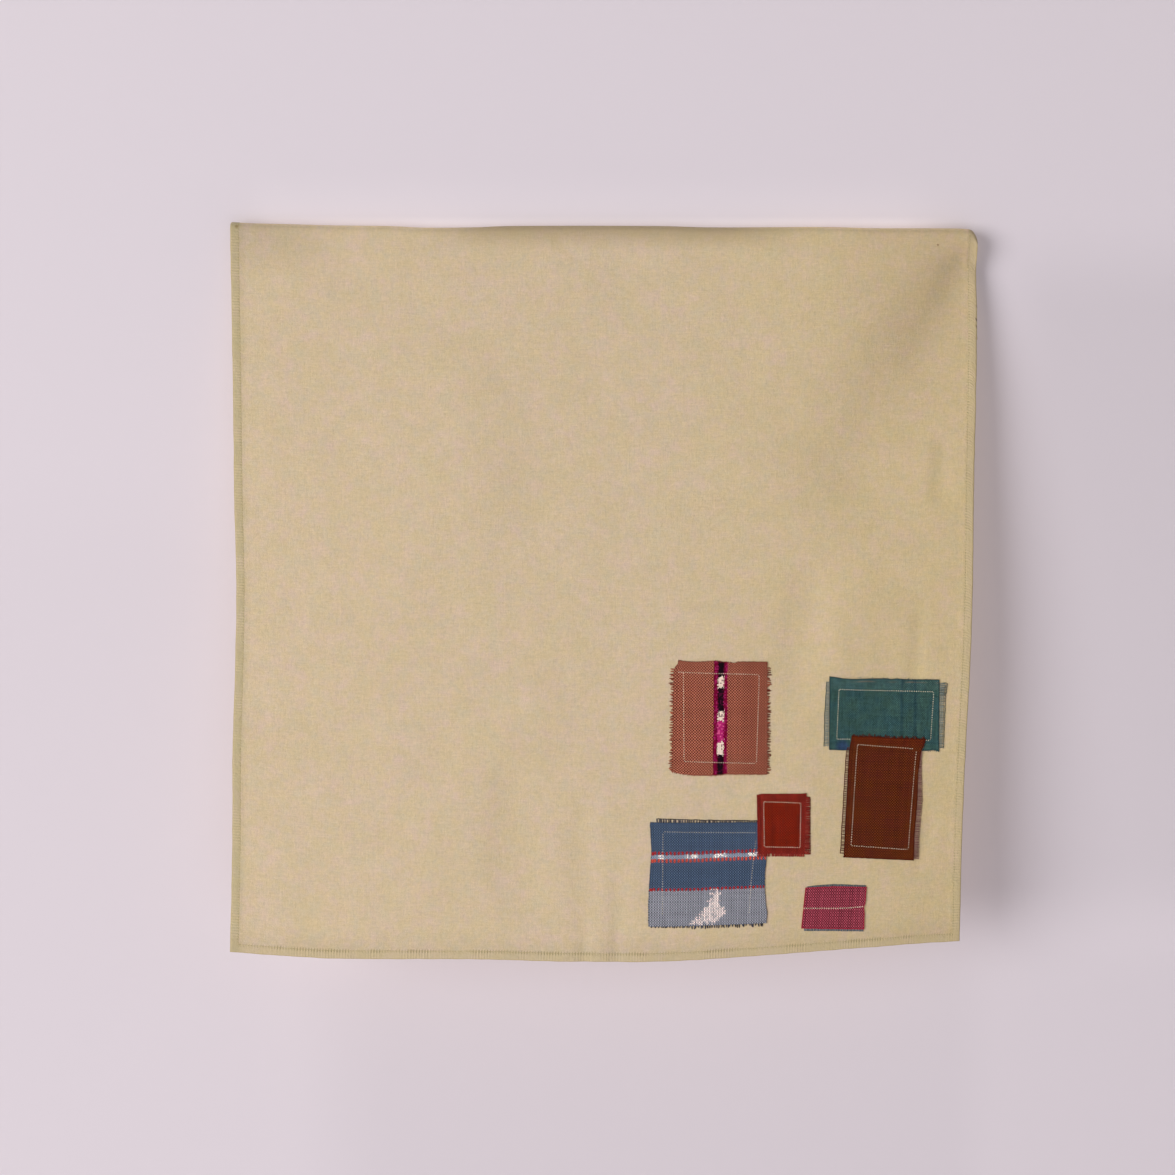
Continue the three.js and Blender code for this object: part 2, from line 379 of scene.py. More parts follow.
weaving = {
    "waves": 0.12,  # the threads wander with these waves
    "roundness": 3.2,  # of a thread's back
    "chances": {"Warp Chance": 0.3, "Weft Chance": 71.3},  # seeds
    "slubs": {"Warp": 7.3, "Weft": 8.3},
    "slubDetail": 1.5,
}


def makeWeaveGroup():
    # plain weave: which thread is on top, the threads' round backs, and a chance value for each thread
    group, start = newGroup("plain weave", {"Warp Gap": 0.6, "Weft Gap": 0.6, "Wander": 0.3})
    wave = cloudy(start["Place"], weaving["waves"], output=1)
    drift = addNode(group, "VectorMath", {0: wave, 1: (0.5, 0.5, 0.5)}, operation="SUBTRACT")[0]
    shift = {0: start["Place"], 1: stretch(drift, start["Wander"])}
    x, y, _ = split(addNode(group, "VectorMath", shift, operation="ADD")[0])
    turns = x / start["Warp Gap"], y / start["Weft Gap"]
    counts = [calc("FLOOR", turn) for turn in turns]
    asides = [calc("FRACT", turn) - 0.5 for turn in turns]
    rounds = [1 - aside * aside * weaving["roundness"] for aside in asides]
    column, row = (calc("FLOORED_MODULO", count, 2) for count in counts)
    over = abs(column - row)
    height = (mixValues(over, rounds[1], rounds[0]) + rounds[0] * rounds[1]) * 0.5
    results = {"Over": over, "Height": height, "Column": column, "Row": row}
    for count, (label, seed) in zip(counts, weaving["chances"].items()):
        results[label] = addNode(group, "TexWhiteNoise", {"W": count + seed}, noise_dimensions="1D")[0]
    crossing = join(*counts)
    results["Crossing"] = addNode(group, "TexWhiteNoise", {"Vector": crossing}, noise_dimensions="2D")[0]
    return closeGroup(group, results)


def makeSlubGroup():
    # long thin streaks both ways, as thicker and thinner lengths of thread give, around 0
    group, start = newGroup("slubs", {"Length": 30, "Breadth": 1.2})
    x, y, _ = split(start["Place"])
    results = {}
    for (label, seed), (wide, long) in zip(weaving["slubs"].items(), ((x, y), (y, x))):
        streaks = join(wide / start["Breadth"], long / start["Length"], seed)
        results[label] = cloudy(streaks, 1, weaving["slubDetail"]) - 0.5
    return closeGroup(group, results)


def makeBlotchGroup():
    # soft cloudy patches, from 0 to 1
    group, start = newGroup("blotches", {"Size": 60, "Seed": 0, "Contrast": 2.2})
    x, y, _ = split(start["Place"])
    cloud = cloudy(join(x / start["Size"], y / start["Size"], start["Seed"]), 1, 2)
    return closeGroup(group, {"Patch": calc("ADD", (cloud - 0.5) * start["Contrast"], 0.5, clamp=True)})


def makeEdgeGroup():
    # how far in from the nearest edge of a rectangular piece
    group, start = newGroup("distance from the edge", {"Width": 100, "Length": 100})
    x, y, _ = split(start["Place"])
    sides = calc("MINIMUM", x, start["Width"] - x)
    ends = calc("MINIMUM", y, start["Length"] - y)
    return closeGroup(group, {"Inside": calc("MINIMUM", sides, ends), "Sides": sides, "Ends": ends})


weaveGroup = makeWeaveGroup()
slubGroup = makeSlubGroup()
blotchGroup = makeBlotchGroup()
edgeGroup = makeEdgeGroup()


def useGroup(group, place, values):
    return addNode(treeOf(place), "Group", {"Place": place, **values}, node_tree=group)


def blotchAt(place, size, seed, contrast):
    return useGroup(blotchGroup, place, {"Size": size, "Seed": seed, "Contrast": contrast})["Patch"]


def edgesAt(place, width, length):
    return useGroup(edgeGroup, place, {"Width": width, "Length": length})


def newMaterial(name, roughness, sheen=0, specular=0.08):
    material = bpy.data.materials.new(name)
    material.use_nodes = True
    shader = material.node_tree.nodes["Principled BSDF"]
    values = {"Roughness": roughness, "Specular IOR Level": specular}
    connect(shader, {**values, "Sheen Weight": sheen, "Sheen Roughness": 0.5})
    return material, shader


def placeOnPiece(tree):
    # millimetres on the flat piece, from its own map
    return stretch(addNode(tree, "UVMap", uv_map="clothPlace")[0], 1000)


def tintAreas(color, across, down, areas):
    # each area is a window across, a window down and the colour that tints it
    for acrossReach, downReach, tint in areas:
        color = tinted(color, window(across, *acrossReach) * window(down, *downReach), tint)
    return color


# The cloth

cotton = {
    "ground": paint(214, 192, 163),
    # soft patches: size, seed, contrast, colour and how much of it
    "patches": [
        (48, 2.2, 3.4, paint(208, 188, 148), 0.65),
        (20, 9.4, 3.4, paint(216, 189, 172), 0.6),
        (14, 3.1, 4, paint(203, 189, 157), 0.6),
        (7, 6.6, 4, paint(213, 190, 146), 0.5),
    ],
    "threadGap": 0.58,
    "weftGapShare": 1.08,
    "wander": 0.5,
    # how much each output of the weave lightens the cloth, then its streaks and soft flecks, around a base
    "weaveShades": {"Warp Chance": 0.01, "Weft Chance": 0.01, "Crossing": 0.1, "Height": 0.05},
    "streaks": {"length": 9, "breadth": 1.5, "warp": 0.7, "weft": 0.8, "shade": 0.15, "bump": 1.6},
    "flecks": [(3, 5.2, 2.4, 0.09), (26, 8.8, 2.4, 0.03)],  # size, seed, contrast and shade
    "base": 0.855,
    # painted light: areas made paler or warmer in colour, where across, where down from the start of the
    # front, and the tint
    "paintedLight": [
        ((350, 700), (-200, -199), (1, 0.99, 0.87, 1)),  # painted light: the right half is tinted yellower, for the warmer light on its shaded side
        ((-2, -1), (-16.5, -11.5, -8.5, -3.5), grayPaint(1.48)),  # painted light: the fold's crest is made paler, as light from above would make it
    ],
    # painted shade where the cloth turns away from the light: where across, where down from the start of the
    # front, and the tint
    "darker": [
        ((530, 660), (-22.62, -22.61, 40, 290), (0.895, 0.885, 0.9, 1)),  # the upper right corner
        ((120, 30), (-36, -16, 10, 55), grayPaint(0.87)),  # the upper left corner
        ((-2, -1), (652, 674), grayPaint(0.93)),  # above the lower hem
    ],
    "foldShade": paint(166, 146, 112),  # painted shade along the fold, where the cloth rolls back over it, most of all in its middle
    "foldShadeDown": (-36, -16, -8, 20),
    "foldShadeMiddle": (170, 260, 450, 560),
    "foldShadeShares": (0.06, 0.68),
    # spots: place, reach, colour and how much of it
    "spots": [
        ((662.6, 126.2), 1.3, paint(112, 72, 38), 0.7),
        ((6.2, 114), 2.6, paint(140, 116, 70), 0.6),
        ((699.6, 190), 1.7, paint(52, 44, 34), 0.9),
        ((699.6, 196.5), 1.4, paint(52, 44, 34), 0.8),
        ((699.6, 176), 1.2, paint(70, 60, 46), 0.7),
    ],
    "roughness": 0.92,
    "sheen": 0.12,
    "pucker": (15, 6),  # the cloth puckers this near the edge
    "bumps": (0.0005, 0.00014),
}
hemSeam = {
    "pitch": 2.65,
    "inset": 7.5,
    "width": 0.6,
    "gap": 0.7,
    "up": 0.04,  # the stitches' height over the dip, and behind over the hem's inner side
    "upBehind": 0.1,
    "seed": 21,
    "light": paint(202, 186, 144),
    "dark": paint(176, 160, 116),
    "tint": paint(198, 181, 141),
    "tintReach": (8.4, 7),
    "tintAmount": 0.45,
    # the needle holes are painted as dots of shade
    "hole": paint(138, 126, 82),
    "holeReach": 2.3,  # the end hems' holes are drawn longer
    "sideHoleReach": 1.2,
    "holeShares": (0.15, 0.45),  # everywhere, and more where they show
    "holeRound": (1, 0.4),
    "holeTurn": (0.1, 0.8),
    "patchiness": 0.05,
    "shown": (0.38, 0.6),
    "sideQuiet": 0.6,  # the holes show this much less on the side hems
    "cornerQuiet": 0.3,  # and near the upper right corner
    "quietAcross": (680, 690),
    "quietDown": (190, 90),
    # painted shade on the right hem, close below the upper corner
    "darker": [((690, 693), (-14.01, -14, 14, 48), grayPaint(0.84))],
    "left": (0.85, 0.875, 0.83, 1),
    "leftReach": (14, 6),
    "leftShares": (0.6, 0.3),
    "leftShown": (0.6, 0.4),
    # painted shade and light along each stitch's ridge, as well as its bump
    "ridgeReach": (8.2, 6.8),
    "ridgeShade": 0.07,
    "ridgeBump": 0.16,
    "edgeLine": paint(170, 151, 104),
    "lineReach": (1, 0.3),
    "lineAmount": 0.7,
}


def stitchTurns(value, length):
    # stitches counted along an edge; a whole number fits between the corners
    room = length - 2 * hemSeam["inset"]
    return (value - hemSeam["inset"]) / (room / round(room / hemSeam["pitch"]))


def addHem(place, edges, color):
    # a darker band, with a small hole at each stitch painted as a dot of shade, and painted shade and light
    # along each stitch's ridge
    across, along, _ = split(place)
    down = along - frontStart
    inside = edges["Inside"]
    color = mixColors(fade(inside, *hemSeam["tintReach"]) * hemSeam["tintAmount"], color, hemSeam["tint"])
    onSides = edges["Sides"] < edges["Ends"]
    turn = mixValues(onSides, stitchTurns(across, hang["width"]), stitchTurns(along, fullLength))
    wave = calc("COSINE", turn * (2 * math.pi))
    patchy = cloudy(place, hemSeam["patchiness"])
    shown = fade(patchy, *hemSeam["shown"])
    reach = onSides * (hemSeam["sideHoleReach"] - hemSeam["holeReach"]) + hemSeam["holeReach"]
    offSeam = abs(inside - hemSeam["inset"]) / reach
    holes = fade(offSeam, *hemSeam["holeRound"]) * fade(wave, *hemSeam["holeTurn"])
    upRight = fade(across, *hemSeam["quietAcross"]) * fade(down, *hemSeam["quietDown"])
    quiet = 1 - onSides * hemSeam["sideQuiet"] - upRight * hemSeam["cornerQuiet"]
    least, more = hemSeam["holeShares"]
    color = tintAreas(color, across, down, hemSeam["darker"])
    # painted shade in the needle holes
    color = mixColors(holes * (shown * more + least) * quiet, color, hemSeam["hole"])
    least, more = hemSeam["leftShares"]
    left = fade(across, *hemSeam["leftReach"]) * (fade(patchy, *hemSeam["leftShown"]) * more + least)
    color = tinted(color, left, hemSeam["left"])
    # painted shade and light along the stitches' ridges
    ridges = wave * shown * fade(inside, *hemSeam["ridgeReach"])
    color = shaded(color, 1 - ridges * hemSeam["ridgeShade"])
    line = fade(inside, *hemSeam["lineReach"]) * hemSeam["lineAmount"]
    return mixColors(line, color, hemSeam["edgeLine"]), ridges


def addSpot(place, color, at, reach, tint, amount, core=0.3):
    # full strength up to core, as a share of its reach
    inputs = {0: place, 1: (*at, 0)}
    apart = addNode(treeOf(place), "VectorMath", inputs, operation="DISTANCE")["Value"]
    return mixColors(fade(apart, reach, reach * core) * amount, color, tint)


def makeCottonMaterial():
    material, shader = newMaterial("beige cotton", cotton["roughness"], cotton["sheen"])
    place = placeOnPiece(shader.id_data)
    gaps = {"Warp Gap": cotton["threadGap"], "Weft Gap": cotton["threadGap"] * cotton["weftGapShare"]}
    weave = useGroup(weaveGroup, place, {**gaps, "Wander": cotton["wander"]})
    streak = cotton["streaks"]
    slubs = useGroup(slubGroup, place, {"Length": streak["length"], "Breadth": streak["breadth"]})
    streaks = slubs["Warp"] * streak["warp"] + slubs["Weft"] * streak["weft"]
    edges = edgesAt(place, hang["width"], fullLength)
    color = cotton["ground"]
    for size, seed, contrast, tint, amount in cotton["patches"]:
        color = mixColors(blotchAt(place, size, seed, contrast) * amount, color, tint)
    shade = streaks * streak["shade"] + cotton["base"]
    for label, amount in cotton["weaveShades"].items():
        shade = shade + weave[label] * amount
    for size, seed, contrast, amount in cotton["flecks"]:
        shade = shade + blotchAt(place, size, seed, contrast) * amount
    across, along, _ = split(place)
    down = along - frontStart
    # painted light on the fold's crest and the right half
    color = tintAreas(shaded(color, shade), across, down, cotton["paintedLight"])
    # painted shade along the fold, and then in the darker areas
    least, more = cotton["foldShadeShares"]
    foldShade = window(down, *cotton["foldShadeDown"]) * (window(across, *cotton["foldShadeMiddle"]) * more + least)
    color = mixColors(foldShade, color, cotton["foldShade"])
    color = tintAreas(color, across, down, cotton["darker"])
    color, ridges = addHem(place, edges, color)
    for spot in cotton["spots"]:
        color = addSpot(place, color, *spot)
    pucker = cloudy(place, 0.3, 2) * fade(edges["Inside"], *cotton["pucker"])
    coarse, fine = cotton["bumps"]
    uneven = bumpFrom(pucker - ridges * hemSeam["ridgeBump"], coarse)
    grain = bumpFrom(weave["Height"] + streaks * streak["bump"], fine, uneven)
    connect(shader, {"Base Color": color, "Normal": grain})
    return material


clothSheet = {
    "thickness": 0.9,
    "hemWidth": 7.5,
    "hemThickness": 2.0,  # three layers, turned to the inside
    "cell": 4.3,
    "behindStops": 19,
    "foldStops": 12,
    "edgeStops": [0, 0.35, 0.9, 1.8, 3.5, 5.4, 6.8, 7.5, 8.2, 9.2, 11.2],
    "edgeDrop": 0.45,  # the hem's fold rounds off by this much
    "edgeRound": 1.1,
    "seamDip": 0.12,
    "dipWidth": 0.8,
    "swell": 0.08,  # of the hem, between its fold and its seam
    "swellStart": 0.6,
    "swellWidth": 6.4,
    "scallop": 0.35,  # the edges stray by this much: reach, then size and seed both ways
    "scallopReach": 14,
    "scallops": [(15, 1.9), (11, 6.4)],
    "hemFade": 1.4,
}


def addObject(name, data):
    made = bpy.data.objects.new(name, data)
    bpy.context.scene.collection.objects.link(made)
    return made


def deselectAll():
    bpy.ops.object.select_all(action="DESELECT")


def pick(piece):
    deselectAll()
    piece.select_set(True)
    bpy.context.view_layer.objects.active = piece


def addGrid(name, columns, rows):
    deselectAll()
    bpy.ops.mesh.primitive_grid_add(x_subdivisions=columns, y_subdivisions=rows, size=2)
    piece = bpy.context.object
    piece.name = piece.data.name = name
    return piece


def layGrid(piece, points, flat):
    # moves a flat grid's corners to points, and gives it the map clothPlace, in metres
    rows, columns = points.shape[0] - 1, points.shape[1] - 1
    mesh = piece.data
    corners = np.empty(len(mesh.vertices) * 3)
    mesh.vertices.foreach_get("co", corners)
    corners = corners.reshape(-1, 3)
    column = np.rint((corners[:, 0] + 1) / 2 * columns).astype(int)
    row = np.rint((1 - corners[:, 1]) / 2 * rows).astype(int)
    mesh.vertices.foreach_set("co", points[row, column].ravel())
    loops = np.empty(len(mesh.loops), int)
    mesh.loops.foreach_get("vertex_index", loops)
    layer = mesh.uv_layers[0] if mesh.uv_layers else mesh.uv_layers.new(name="clothPlace")
    layer.name = "clothPlace"
    layer.uv.foreach_set("vector", (flat[row[loops], column[loops]] / 1000).ravel())
    mesh.update()
    return row, column


def thicken(piece, thickness, group=None, thinShare=1, smoothTo=50):
    modifier = piece.modifiers.new("thickness", "SOLIDIFY")
    modifier.thickness = thickness / 1000
    modifier.offset = -1
    if group:
        modifier.vertex_group = group
        modifier.thickness_vertex_group = thinShare
    pick(piece)
    bpy.ops.object.modifier_apply(modifier=modifier.name)
    bpy.ops.object.shade_smooth_by_angle(angle=math.radians(smoothTo))


def stopsBetween(edgeStops, length, cell):
    inner = length - 2 * edgeStops[-1]
    middle = edgeStops[-1] + np.linspace(0, inner, round(inner / cell) + 1)[1:-1]
    return np.concatenate([edgeStops, middle, length - np.array(edgeStops[::-1])])


def makeCloth():
    across = stopsBetween(clothSheet["edgeStops"], hang["width"], clothSheet["cell"]) - halfWidth
    edge = np.array(clothSheet["edgeStops"])
    cell = clothSheet["cell"]
    along = np.concatenate([
        edge,
        np.linspace(edge[-1], hang["backDrop"], clothSheet["behindStops"])[1:-1],
        np.linspace(hang["backDrop"], frontStart, clothSheet["foldStops"])[:-1],
        np.linspace(frontStart, fullLength - edge[-1], round(hang["frontDrop"] / cell))[:-1],
        fullLength - edge[::-1],
    ])
    acrossGrid, alongGrid = np.meshgrid(across, along)
    piece = addGrid("furoshiki_cloth", len(across) - 1, len(along) - 1)
    inside = np.minimum(halfWidth - np.abs(acrossGrid), np.minimum(alongGrid, fullLength - alongGrid))

    bead = np.sin(math.pi * np.clip((inside - clothSheet["swellStart"]) / clothSheet["swellWidth"], 0, 1))
    dip = np.exp(-(((inside - clothSheet["hemWidth"]) / clothSheet["dipWidth"]) ** 2))
    relief = clothSheet["swell"] * bead - clothSheet["seamDip"] * dip
    relief -= clothSheet["edgeDrop"] * (1 - np.clip(inside / clothSheet["edgeRound"], 0, 1)) ** 2

    loose = clothSheet["scallop"] * (1 - smooth(inside / clothSheet["scallopReach"]))
    shiftX, shiftY = (loose * swells(acrossGrid, alongGrid, *pair) for pair in clothSheet["scallops"])
    points = clothPoint(acrossGrid + shiftX, alongGrid + shiftY, relief)
    flat = np.stack([acrossGrid + halfWidth, alongGrid], -1)
    row, column = layGrid(piece, points, flat)

    hem = piece.vertex_groups.new(name="hem")
    weight = 1 - smooth((inside - clothSheet["hemWidth"]) / clothSheet["hemFade"])
    for index, share in enumerate(weight[row, column]):
        if share > 0:
            hem.add([index], float(share), "REPLACE")
    thicken(piece, clothSheet["hemThickness"], "hem", clothSheet["thickness"] / clothSheet["hemThickness"])
    piece.data.materials.append(makeCottonMaterial())
    return piece


cloth = makeCloth()
print("cloth: done,", len(cloth.data.polygons), "faces")


# Threads: one short length is modelled, and its copies are laid on the cloth and joined


def faceOut():
    bpy.ops.object.mode_set(mode="EDIT")
    bpy.ops.mesh.select_all(action="SELECT")
    bpy.ops.mesh.normals_make_consistent(inside=False)
    bpy.ops.object.mode_set(mode="OBJECT")


def makeThreadLength(name, sides, rings, endWidth):
    # a length of 1 along X, from 0 to 1, and 1 across, with narrowing ends
    deselectAll()
    bpy.ops.mesh.primitive_cylinder_add(vertices=sides, radius=0.5, depth=1, location=(0, 0, 0.5))
    bpy.ops.object.transform_apply(location=True, rotation=True)
    bpy.ops.object.mode_set(mode="EDIT")
    for ring in range(1, rings):
        bpy.ops.mesh.select_all(action="SELECT")
        bpy.ops.mesh.bisect(plane_co=(0, 0, ring / rings), plane_no=(0, 0, 1))
    bpy.ops.object.mode_set(mode="OBJECT")
    piece = bpy.context.object
    piece.name = name
    for vertex in piece.data.vertices:
        x, y, along = vertex.co
        width = endWidth + (1 - endWidth) * math.sin(math.pi * min(max(along, 0), 1)) ** 0.5
        vertex.co = (along, y * width, x * width)
    faceOut()
    return piece


def layThreads(name, threadLength, rows, material):
    # rows are (start, end, bend, width, height, startUp, endUp, arch, tone), in millimetres on the cloth
    mesh = threadLength.data
    shape = np.array([v.co for v in mesh.vertices])
    faces = [list(p.vertices) for p in mesh.polygons]
    start, end = (np.array([row[k] for row in rows], float)[:, None] for k in (0, 1))
    bend, width, height, startUp, endUp, arch = (
        np.array([row[k] for row in rows], float)[:, None] for k in range(2, 8)
    )
    t, y, z = shape[:, 0], shape[:, 1], shape[:, 2]
    line = end - start
    lineLength = np.maximum(np.linalg.norm(line, axis=-1, keepdims=True), 0.01)
    aside = np.stack([-line[..., 1], line[..., 0]], -1) / lineLength
    hump = 4 * t * (1 - t)
    place = start + line * t[None, :, None] + aside * (y * width + bend * hump)[..., None]
    outward = startUp + (endUp - startUp) * t + arch * hump + z * height
    points = clothPoint(place[..., 0], place[..., 1] + frontStart, outward)
    count = len(shape)
    allFaces = [[index + k * count for index in face] for k in range(len(rows)) for face in faces]
    joined = bpy.data.meshes.new(name)
    joined.from_pydata(points.reshape(-1, 3).tolist(), [], allFaces)
    joined.materials.append(material)
    tones = joined.attributes.new("tone", "FLOAT", "POINT")
    tones.data.foreach_set("value", np.repeat([row[8] for row in rows], count))
    piece = addObject(name, joined)
    pick(piece)
    faceOut()
    bpy.ops.object.shade_smooth()
    return piece


fibre = {"roughness": 0.9, "sheen": 0.03, "patches": 900, "uneven": 0.6, "size": 5200, "bump": 0.00006}


def makeThreadMaterial(name, dark, light):
    # tone goes from dark to light, and each thread has its own
    material, shader = newMaterial(name, fibre["roughness"], fibre["sheen"])
    tree = shader.id_data
    place = addNode(tree, "TexCoord")["Object"]
    tone = addNode(tree, "Attribute", attribute_name="tone")["Fac"]
    uneven = fibre["uneven"]
    color = mixColors(tone + cloudy(place, fibre["patches"]) * uneven - uneven / 2, dark, light)
    fibres = bumpFrom(cloudy(place, fibre["size"]), fibre["bump"])
    connect(shader, {"Base Color": color, "Normal": fibres})
    return material


stitchLength = makeThreadLength("stitch_length", 6, 4, 0.35)
endLength = makeThreadLength("end_length", 4, 3, 0.5)


def alongPath(path, pitch):
    # even steps along a line of places
    path = np.array(path, float)
    legs = np.linalg.norm(np.diff(path, axis=0), axis=1)
    reached = np.concatenate([[0], np.cumsum(legs)])
    steps = np.linspace(0, reached[-1], max(2, round(reached[-1] / pitch) + 1))
    return np.stack([np.interp(steps, reached, path[:, k]) for k in (0, 1)], -1)


seamThread = {"stray": 0.12, "sunk": 0.08, "flat": 0.6, "arch": 0.25, "tone": (0.2, 1)}


def sewSeam(name, paths, heightAt, material, chance, pitch, width, gap, side=1):
    # side is 1 on the cloth's outer side and -1 behind
    rows = []
    for path in paths:
        stops = alongPath(path, pitch)
        for here, there in zip(stops[:-1], stops[1:]):
            step = (there - here) / np.linalg.norm(there - here)
            start, end = here + step * gap / 2, there - step * gap / 2
            wander = np.array([chance.uniform(-1, 1), chance.uniform(-1, 1)]) * seamThread["stray"]
            sunk = [float(heightAt(*place)) - seamThread["sunk"] * side for place in (start, end)]
            size = width, width * seamThread["flat"]
            tone = chance.uniform(*seamThread["tone"])
            rows.append((start + wander, end + wander, 0, *size, *sunk, seamThread["arch"] * side, tone))
    return layThreads(name, stitchLength, rows, material)


# The scraps

scrapCloth = {
    "thickness": 0.6,
    "rest": 0.15,
    "cell": 1.6,
    "edgeReach": 12,
    "liftRamp": 8,
    "flutter": 0.55,  # the edges lift by up to this: how far in, then size and seed of the waves
    "looseMargin": 8,
    "looseSize": 13,
    "looseSeed": 4.2,
}


def cornersAt(scrap, u, v):
    topLeft, topRight, bottomRight, bottomLeft = (np.array(c, float) for c in scrap["corners"])
    u, v = np.asarray(u, float)[..., None], np.asarray(v, float)[..., None]
    return (topLeft * (1 - u) + topRight * u) * (1 - v) + (bottomLeft * (1 - u) + bottomRight * u) * v


def scrapSize(scrap):
    topLeft, topRight, bottomRight, bottomLeft = (np.array(c, float) for c in scrap["corners"])
    width = np.linalg.norm((topRight + bottomRight - topLeft - bottomLeft) / 2)
    length = np.linalg.norm((bottomLeft + bottomRight - topLeft - topRight) / 2)
    return width, length


def edgeOut(scrap, side, at):
    table = scrap["edges"].get(side)
    return np.interp(at, *table) if table else np.zeros_like(at)


def scrapPlace(scrap, u, v):
    # a place on the cloth for a share across and down the scrap, with the scrap's own uneven edges
    width, length = scrapSize(scrap)
    place = cornersAt(scrap, u, v)
    reach = scrapCloth["edgeReach"]
    near = {
        "left": np.clip(1 - u * width / reach, 0, 1) ** 2,
        "right": np.clip(1 - (1 - u) * width / reach, 0, 1) ** 2,
        "top": np.clip(1 - v * length / reach, 0, 1) ** 2,
        "bottom": np.clip(1 - (1 - v) * length / reach, 0, 1) ** 2,
    }
    place[..., 0] += near["right"] * edgeOut(scrap, "right", v) - near["left"] * edgeOut(scrap, "left", v)
    place[..., 1] += near["bottom"] * edgeOut(scrap, "bottom", u) - near["top"] * edgeOut(scrap, "top", u)
    return place


def outsideOf(scrap, across, down):
    # how far a place lies outside a scrap, or with a minus sign how far inside
    ring = [np.array(c, float) for c in scrap["corners"]]
    distances = []
    for here, there in zip(ring, ring[1:] + ring[:1]):
        edge = (there - here) / np.linalg.norm(there - here)
        distances.append(edge[1] * (across - here[0]) - edge[0] * (down - here[1]))
    return np.max(distances, axis=0)


def restHeight(scrap, across, down):
    # what a scrap lies on: the cloth, or the edge of the scrap under it
    height = np.full(np.shape(across), scrapCloth["rest"])
    under = scrap.get("over")
    if under:
        covered = 1 - smooth((outsideOf(under, across, down) - 1) / scrapCloth["liftRamp"])
        height = height + (scrapCloth["thickness"] + scrapCloth["rest"]) * covered
    return height


def topHeight(scrap, across, down):
    margin = np.clip(1 + outsideOf(scrap, across, down) / scrapCloth["looseMargin"], 0, 1)
    places = np.atleast_1d(across), np.atleast_1d(down)
    loose = 0.5 + 0.5 * swells(*places, scrapCloth["looseSize"], scrapCloth["looseSeed"])
    lift = scrapCloth["flutter"] * margin * loose.reshape(np.shape(across))
    return restHeight(scrap, across, down) + scrapCloth["thickness"] + lift


def makeScrap(scrap, material):
    width, length = scrapSize(scrap)
    columns, rows = round(width / scrapCloth["cell"]), round(length / scrapCloth["cell"])
    u, v = np.meshgrid(np.linspace(0, 1, columns + 1), np.linspace(0, 1, rows + 1))
    place = scrapPlace(scrap, u, v)
    chance = np.random.default_rng(scrap["seed"])
    ragged = chance.uniform(-1, 1, u.shape)
    place[:, 0, 0] += scrap["ragged"][0] * ragged[:, 0]
    place[:, -1, 0] += scrap["ragged"][1] * ragged[:, -1]
    place[0, :, 1] += scrap["ragged"][2] * ragged[0, :]
    place[-1, :, 1] += scrap["ragged"][3] * ragged[-1, :]
    piece = addGrid(scrap["name"] + "_scrap", columns, rows)
    across, down = place[..., 0], place[..., 1]
    points = clothPoint(across, down + frontStart, topHeight(scrap, across, down))
    layGrid(piece, points, np.stack([u * width, v * length], -1))
    thicken(piece, scrapCloth["thickness"])
    piece.data.materials.append(material)
    return piece


def edgeRoot(scrap, side, share):
    # a place on an edge of a scrap, and the way straight out from there
    fixed = {"left": 0, "right": 1, "top": 0, "bottom": 1}[side]
    near, across = (fixed, share), (1 - fixed, share)
    if side in ("top", "bottom"):
        near, across = near[::-1], across[::-1]
    root, far = scrapPlace(scrap, *near), cornersAt(scrap, *across)
    return root, (root - far) / np.linalg.norm(root - far)


# Loose ends: which edge and which share of it, the gap between threads, how far they reach at these shares of
# the edge, the shortest one's share of that, how much they sway, their width and tones, and then the threads
# that still run along the frayed strip: how far out, how wide and which tone.
endColumns = ("side", "from", "to", "gap", "at", "reach", "short", "sway", "width", "tone", "lines")
looseEnd = {
    "jitter": 0.25,
    "rootIn": 1.2,
    "rootDown": 0.32,
    "tipUp": 0.15,
    "tipStray": 0.35,
    "flat": 0.7,
    "arch": 0.1,
    "lineStep": 2.2,
    "lineStray": 0.14,
    "lineUp": 0.35,
    "lineOverlap": 0.12,
    "lineFlat": 0.8,
    "lineArch": 0.05,
    "toneStray": 0.15,
}


def layEnds(scrap, edge, sideLength, chance):
    rows = []
    at = edge["from"]
    while at < edge["to"]:
        jitter = chance.uniform(-looseEnd["jitter"], looseEnd["jitter"]) * edge["gap"] / sideLength
        share = min(max(at + jitter, 0), 1)
        root, outwards = edgeRoot(scrap, edge["side"], share)
        reach = float(np.interp(share, edge["at"], edge["reach"])) * chance.uniform(edge["short"], 1)
        sway = np.array([-outwards[1], outwards[0]]) * chance.gauss(0, edge["sway"])
        start, end = root - outwards * looseEnd["rootIn"], root + outwards * reach + sway
        startUp = float(topHeight(scrap, *start)) - looseEnd["rootDown"]
        endUp = float(restHeight(scrap, *end)) + looseEnd["tipUp"] + chance.uniform(0, looseEnd["tipStray"])
        bend = chance.gauss(0, edge["sway"] * 0.5)
        tone = chance.uniform(*edge["tone"])
        size = edge["width"], edge["width"] * looseEnd["flat"]
        rows.append((start, end, bend, *size, startUp, endUp, looseEnd["arch"], tone))
        at += edge["gap"] / sideLength
    return rows


def layLine(scrap, edge, sideLength, chance, line, width, tone):
    rows = []
    places = []
    steps = int((edge["to"] - edge["from"]) * sideLength / looseEnd["lineStep"])
    for share in np.linspace(edge["from"], edge["to"], steps):
        root, outwards = edgeRoot(scrap, edge["side"], share)
        reach = float(np.interp(share, edge["at"], edge["reach"]))
        places.append(root + outwards * (reach * line + chance.gauss(0, looseEnd["lineStray"])))
    for here, there in zip(places[:-1], places[1:]):
        up = float(restHeight(scrap, *here)) + looseEnd["lineUp"]
        more = (there - here) * looseEnd["lineOverlap"]
        size = width, width * looseEnd["lineFlat"]
        shade = tone + chance.uniform(-looseEnd["toneStray"], looseEnd["toneStray"])
        rows.append((here - more, there + more, 0, *size, up, up, looseEnd["lineArch"], shade))
    return rows


